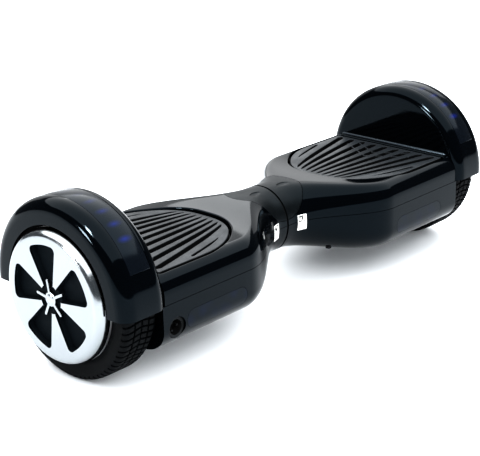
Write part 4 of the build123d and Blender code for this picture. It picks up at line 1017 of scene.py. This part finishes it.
def wheel_face(name, side):
    x0, r0 = SHOULDER
    quarter = [pi / 2 * k / 14 for k in range(15)]
    profile = [(FACE_X, r) for r in (1.0, 10.0, 20.0, 30.0, 40.0, 48.0, 54.0, 57.0)]
    profile += [(x0 + (FACE_X - x0) * cos(turn), r0 + (RIM_R - r0) * sin(turn)) for turn in quarter]
    profile += [(277.0, RIM_R), (276.0, RIM_R - 1.0), (276.0, 58.0), (COVER_TOP_X, 58.0),
                (COVER_TOP_X, 1.0)]
    face = fix_normals(lathe(name + "_face_disc", profile, side))
    low, high = COVER_TOP_X - 3, FACE_X + 3
    centre = prism("centre", circle(HUB_CENTRE_R + 0.6, 60), low, high, along_axle, side)
    combine(face, [centre] + window_cutters(0.0, low, high, side))
    soften(face, 0.4, 2, 40)
    shade(face, 30)
    dress(face, POLISHED, name + "_wheel", "polished_alloy", name + "_wheel_face")


def star_cap(name, side):
    """Star-shaped cover in the wheel's centre with a small dome on it."""
    radius, reach, half = STAR
    root = sqrt(radius ** 2 - half ** 2)
    tip = [(reach - half + half * cos(angle), half * sin(angle))
           for angle in (pi * (step / 8 - 0.5) for step in range(9))]
    pitch = 2 * pi / WINDOW_COUNT
    hollow = [STAR_ROOT + (pitch - 2 * STAR_ROOT) * step / 6 for step in range(1, 6)]
    ray = [(root, -half)] + tip + [(root, half)]
    ray += [(radius * cos(angle), radius * sin(angle)) for angle in hollow]
    outline = []
    for k in range(WINDOW_COUNT):
        away, up = cos(pitch * k), sin(pitch * k)
        outline += [(a * away - b * up, a * up + b * away) for a, b in ray]
    star = prism(name + "_star", turned(outline, WINDOW_PHASE), COVER_TOP_X, FACE_X + 0.6,
                 along_axle, side)
    soften(star, 0.5, 3, 50)
    profile = [(FACE_X, 0.05)]
    profile += [(FACE_X + (STAR_TOP_X - FACE_X) * sin(turn), max(DOME_R * cos(turn), 0.05))
                for turn in (pi / 16 * k for k in range(9))]
    dome = fix_normals(lathe("dome", [profile[0], (FACE_X, DOME_R)] + profile[1:], side, 60))
    whole = join(name + "_star", [star, dome])
    shade(whole, 40)
    dress(whole, POLISHED, name + "_wheel", "polished_alloy", name + "_star_cap")


def motor_cover(name, side):
    profile = [(277.4, 1.0), (277.4, 57.6), (COVER_TOP_X - 0.4, 57.6), (COVER_TOP_X, 57.2)]
    profile += [(COVER_TOP_X, r) for r in (50.0, 40.0, 30.0, 20.0, 1.0)]
    cover = fix_normals(lathe(name + "_cover_disc", profile, side))
    combine(cover, window_cutters(0.3, COVER_TOP_X - 5.0, FACE_X, side))
    soften(cover, 0.4, 2, 40)
    shade(cover, 30)
    dress(cover, COVER, name + "_wheel", "black_cover", name + "_motor_cover")


LUGS = 76
LUG_SHARES = (0.0, 0.05, 0.26, 0.31, 0.48, 0.66, 0.83)
LUG_NOTCH = (0.02, 0.3)      # stretch of a lug's pitch that is notched
LUG_SWEEP = 0.55             # how far a lug's ends lead its middle
TREAD_DEPTH = 2.0
TREAD_SHARES = (0.72, 0.7, 0.6, 0.58, 0.4, 0.2, 0.07, 0.05)
SHOULDER_R = 7.0
WALL_ZONE = 3.0              # sidewall beside the shoulder, where a notch is shallower


def tyre_profile():
    """Points (x, radius, tread share) from the inner bead over the tread to the outer bead."""
    profile = [(TYRE_IN_X + 1.5, RIM_R + 0.1, 0.0), (TYRE_IN_X + 0.3, RIM_R + 3.0, 0.0),
               (TYRE_IN_X, (TYRE_R + RIM_R) / 2 - 2, 0.0)]
    steps = 10
    for k in range(steps + 1):
        angle = pi - pi / 2 * k / steps
        profile.append((TYRE_IN_X + SHOULDER_R * (1 + cos(angle)),
                        TYRE_R - SHOULDER_R * (1 - sin(angle)), 1.0 if k > 2 else 0.0))
    half = (TYRE_OUT_X - TYRE_IN_X) / 2
    centre = TYRE_IN_X + half
    for share in TREAD_SHARES:
        groove = 0.58 < share <= 0.7 or share < 0.06
        profile.append((centre - (half - SHOULDER_R) * share, TYRE_R, -1.0 if groove else 1.0))
    return profile + [(2 * centre - x, r, t) for x, r, t in reversed(profile)]


def tyre(name, side):
    profile = tyre_profile()
    centre = (TYRE_IN_X + TYRE_OUT_X) / 2
    points = []
    for lug in range(LUGS):
        for share in LUG_SHARES:
            notch = LUG_NOTCH[0] < share < LUG_NOTCH[1]
            for x, radius, tread in profile:
                sweep = LUG_SWEEP * (abs(x - centre) / 20.0 if tread else 0.65)
                angle = (lug + share + sweep) * 2 * pi / LUGS
                depth = TREAD_DEPTH if tread < 0 or (tread > 0 and notch) else 0.0
                if abs(x - centre) > (TYRE_OUT_X - TYRE_IN_X) / 2 - WALL_ZONE:
                    x += depth * (0.45 if x < centre else -0.45)
                    depth /= 2
                points.append((x, (radius - depth) * cos(angle), AXLE_Z + (radius - depth) * sin(angle)))
    faces = loop_faces(LUGS * len(LUG_SHARES), len(profile), closed_rows=True)
    piece = fix_normals(make_object(name + "_tyre_tread", points, faces, side))
    shade(piece, 34)
    dress(piece, TYRE, name + "_wheel", "tyre_rubber", name + "_tyre")


# ================= CAD nodes that stay, with better materials =================
KEPT = {
    # The chassis takes the near-black alloy, painted shade in the slit between the halves.
    "strip_board": BOARD, "headlight_board": BOARD, "pad_plungers": SEAL, "chassis": PAINTED_SHADE_ALLOY,
    "axle_clamp": CAST, "frame_bolts": ZINC, "shell_screws": SCREW, "sensor_board": BOARD,
    "axle": STEEL, "wheel_bearings": STEEL, "stator": COPPER, "magnets": NICKEL, "hub_shell": CAST,
}
KEPT_SINGLE = {
    "pivot_shaft": STEEL, "pivot_bush": BRONZE, "pivot_circlip": STEEL, "stop_pin": STEEL,
    "pivot_seal": SEAL, "pivot_cable": CABLE, "main_board": BOARD, "battery_pack": WRAP,
    "power_button": BUTTON, "charge_socket": SOCKET,
}


def finish_cad_node(node_name, material):
    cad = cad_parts[node_name]
    cad.data.materials.clear()
    cad.data.materials.append(material)


MAKERS = (upper_shell, neck_cap, lower_shell, headlight_lens, fender, light_strip, foot_bead, footpad,
          seal_label, wheel_face, star_cap, motor_cover, tyre)
for name, side in SIDES:
    for maker in MAKERS:
        maker(name, side)
    for part, material in KEPT.items():
        finish_cad_node(name + "_" + part, material)
gap_shade_lip()
for part, material in KEPT_SINGLE.items():
    finish_cad_node(part, material)


# ================= floor, light and camera =================
FLOOR_HALF = 9.0


def floor():
    paint = Recipe("floor_white")
    paint.surface(Base_Color=(0.90, 0.93, 0.955), Roughness=0.6)
    corners = ((-FLOOR_HALF, -FLOOR_HALF, 0), (FLOOR_HALF, -FLOOR_HALF, 0),
               (FLOOR_HALF, FLOOR_HALF, 0), (-FLOOR_HALF, FLOOR_HALF, 0))
    mesh = bpy.data.meshes.new("floor")
    mesh.from_pydata(corners, [], [(0, 1, 2, 3)])
    plane = bpy.data.objects.new("floor", mesh)
    scene.collection.objects.link(plane)
    plane.data.materials.append(paint.material)


# Area lights: name, place, target, size and power, in metres and watts. The fill only lifts the
# shadows, and the glints only show as the photograph's small highlights.
LIGHTS = (
    ("overhead", (0.3, 0.6, 2.6), (0.3, 0.6, 0.0), (7.0, 7.0), 420),
    ("rear_wall", (1.9, 2.2, 0.9), (0.0, 0.0, 0.1), (4.4, 1.6), 22),
    ("fill", (-0.9, -2.6, 1.3), (0.0, 0.0, 0.0), (3.0, 2.0), 80),
    ("glint_high", (-1.57, 0.07, 1.41), (0.0, 0.0, 0.1), (0.26, 0.36), 34),
    ("glint_low", (-1.48, 0.45, 0.43), (0.0, 0.0, 0.1), (0.2, 0.25), 9),
)
WORLD_COLOUR, WORLD_STRENGTH = (0.86, 0.93, 1.0, 1.0), 0.2


def area_light(name, place, target, size, power):
    data = bpy.data.lights.new(name, "AREA")
    data.shape = "RECTANGLE"
    data.size, data.size_y = size
    data.energy = power
    lamp = bpy.data.objects.new(name, data)
    scene.collection.objects.link(lamp)
    lamp.location = place
    lamp.rotation_euler = (Vector(target) - Vector(place)).to_track_quat("-Z", "Y").to_euler()
    lamp.visible_glossy = name != "fill"
    lamp.visible_diffuse = not name.startswith("glint")


def studio():
    world = bpy.data.worlds.new("studio")
    world.use_nodes = True
    scene.world = world
    background = world.node_tree.nodes["Background"]
    background.inputs["Color"].default_value = WORLD_COLOUR
    background.inputs["Strength"].default_value = WORLD_STRENGTH
    for light in LIGHTS:
        area_light(*light)


CAMERA_PLACE = (-0.98507, -0.88809, 0.55805)
CAMERA_TURN = radians(46.584)      # clockwise from +Y, seen from above
CAMERA_DIP = radians(20.369)
CAMERA_ROLL = radians(-1.595)
CAMERA_LENS = 99.48
CAMERA_SHIFT = (0.0154, 0.0115)


def camera():
    forward = Vector((sin(CAMERA_TURN) * cos(CAMERA_DIP), cos(CAMERA_TURN) * cos(CAMERA_DIP),
                      -sin(CAMERA_DIP)))
    right = Vector((cos(CAMERA_TURN), -sin(CAMERA_TURN), 0.0))
    up = right.cross(forward)
    level_right = right * cos(CAMERA_ROLL) + up * sin(CAMERA_ROLL)
    level_up = -right * sin(CAMERA_ROLL) + up * cos(CAMERA_ROLL)
    data = bpy.data.cameras.new("camera")
    data.lens = CAMERA_LENS
    data.sensor_width = 36.0
    data.shift_x, data.shift_y = CAMERA_SHIFT
    data.clip_end = 50.0
    eye = bpy.data.objects.new("camera", data)
    scene.collection.objects.link(eye)
    turn = Matrix((level_right, level_up, -forward)).transposed().to_4x4()
    eye.matrix_world = Matrix.Translation(CAMERA_PLACE) @ turn
    scene.camera = eye


floor()
studio()
camera()
scene.view_settings.view_transform = "Standard"
scene.view_settings.look = "High Contrast"
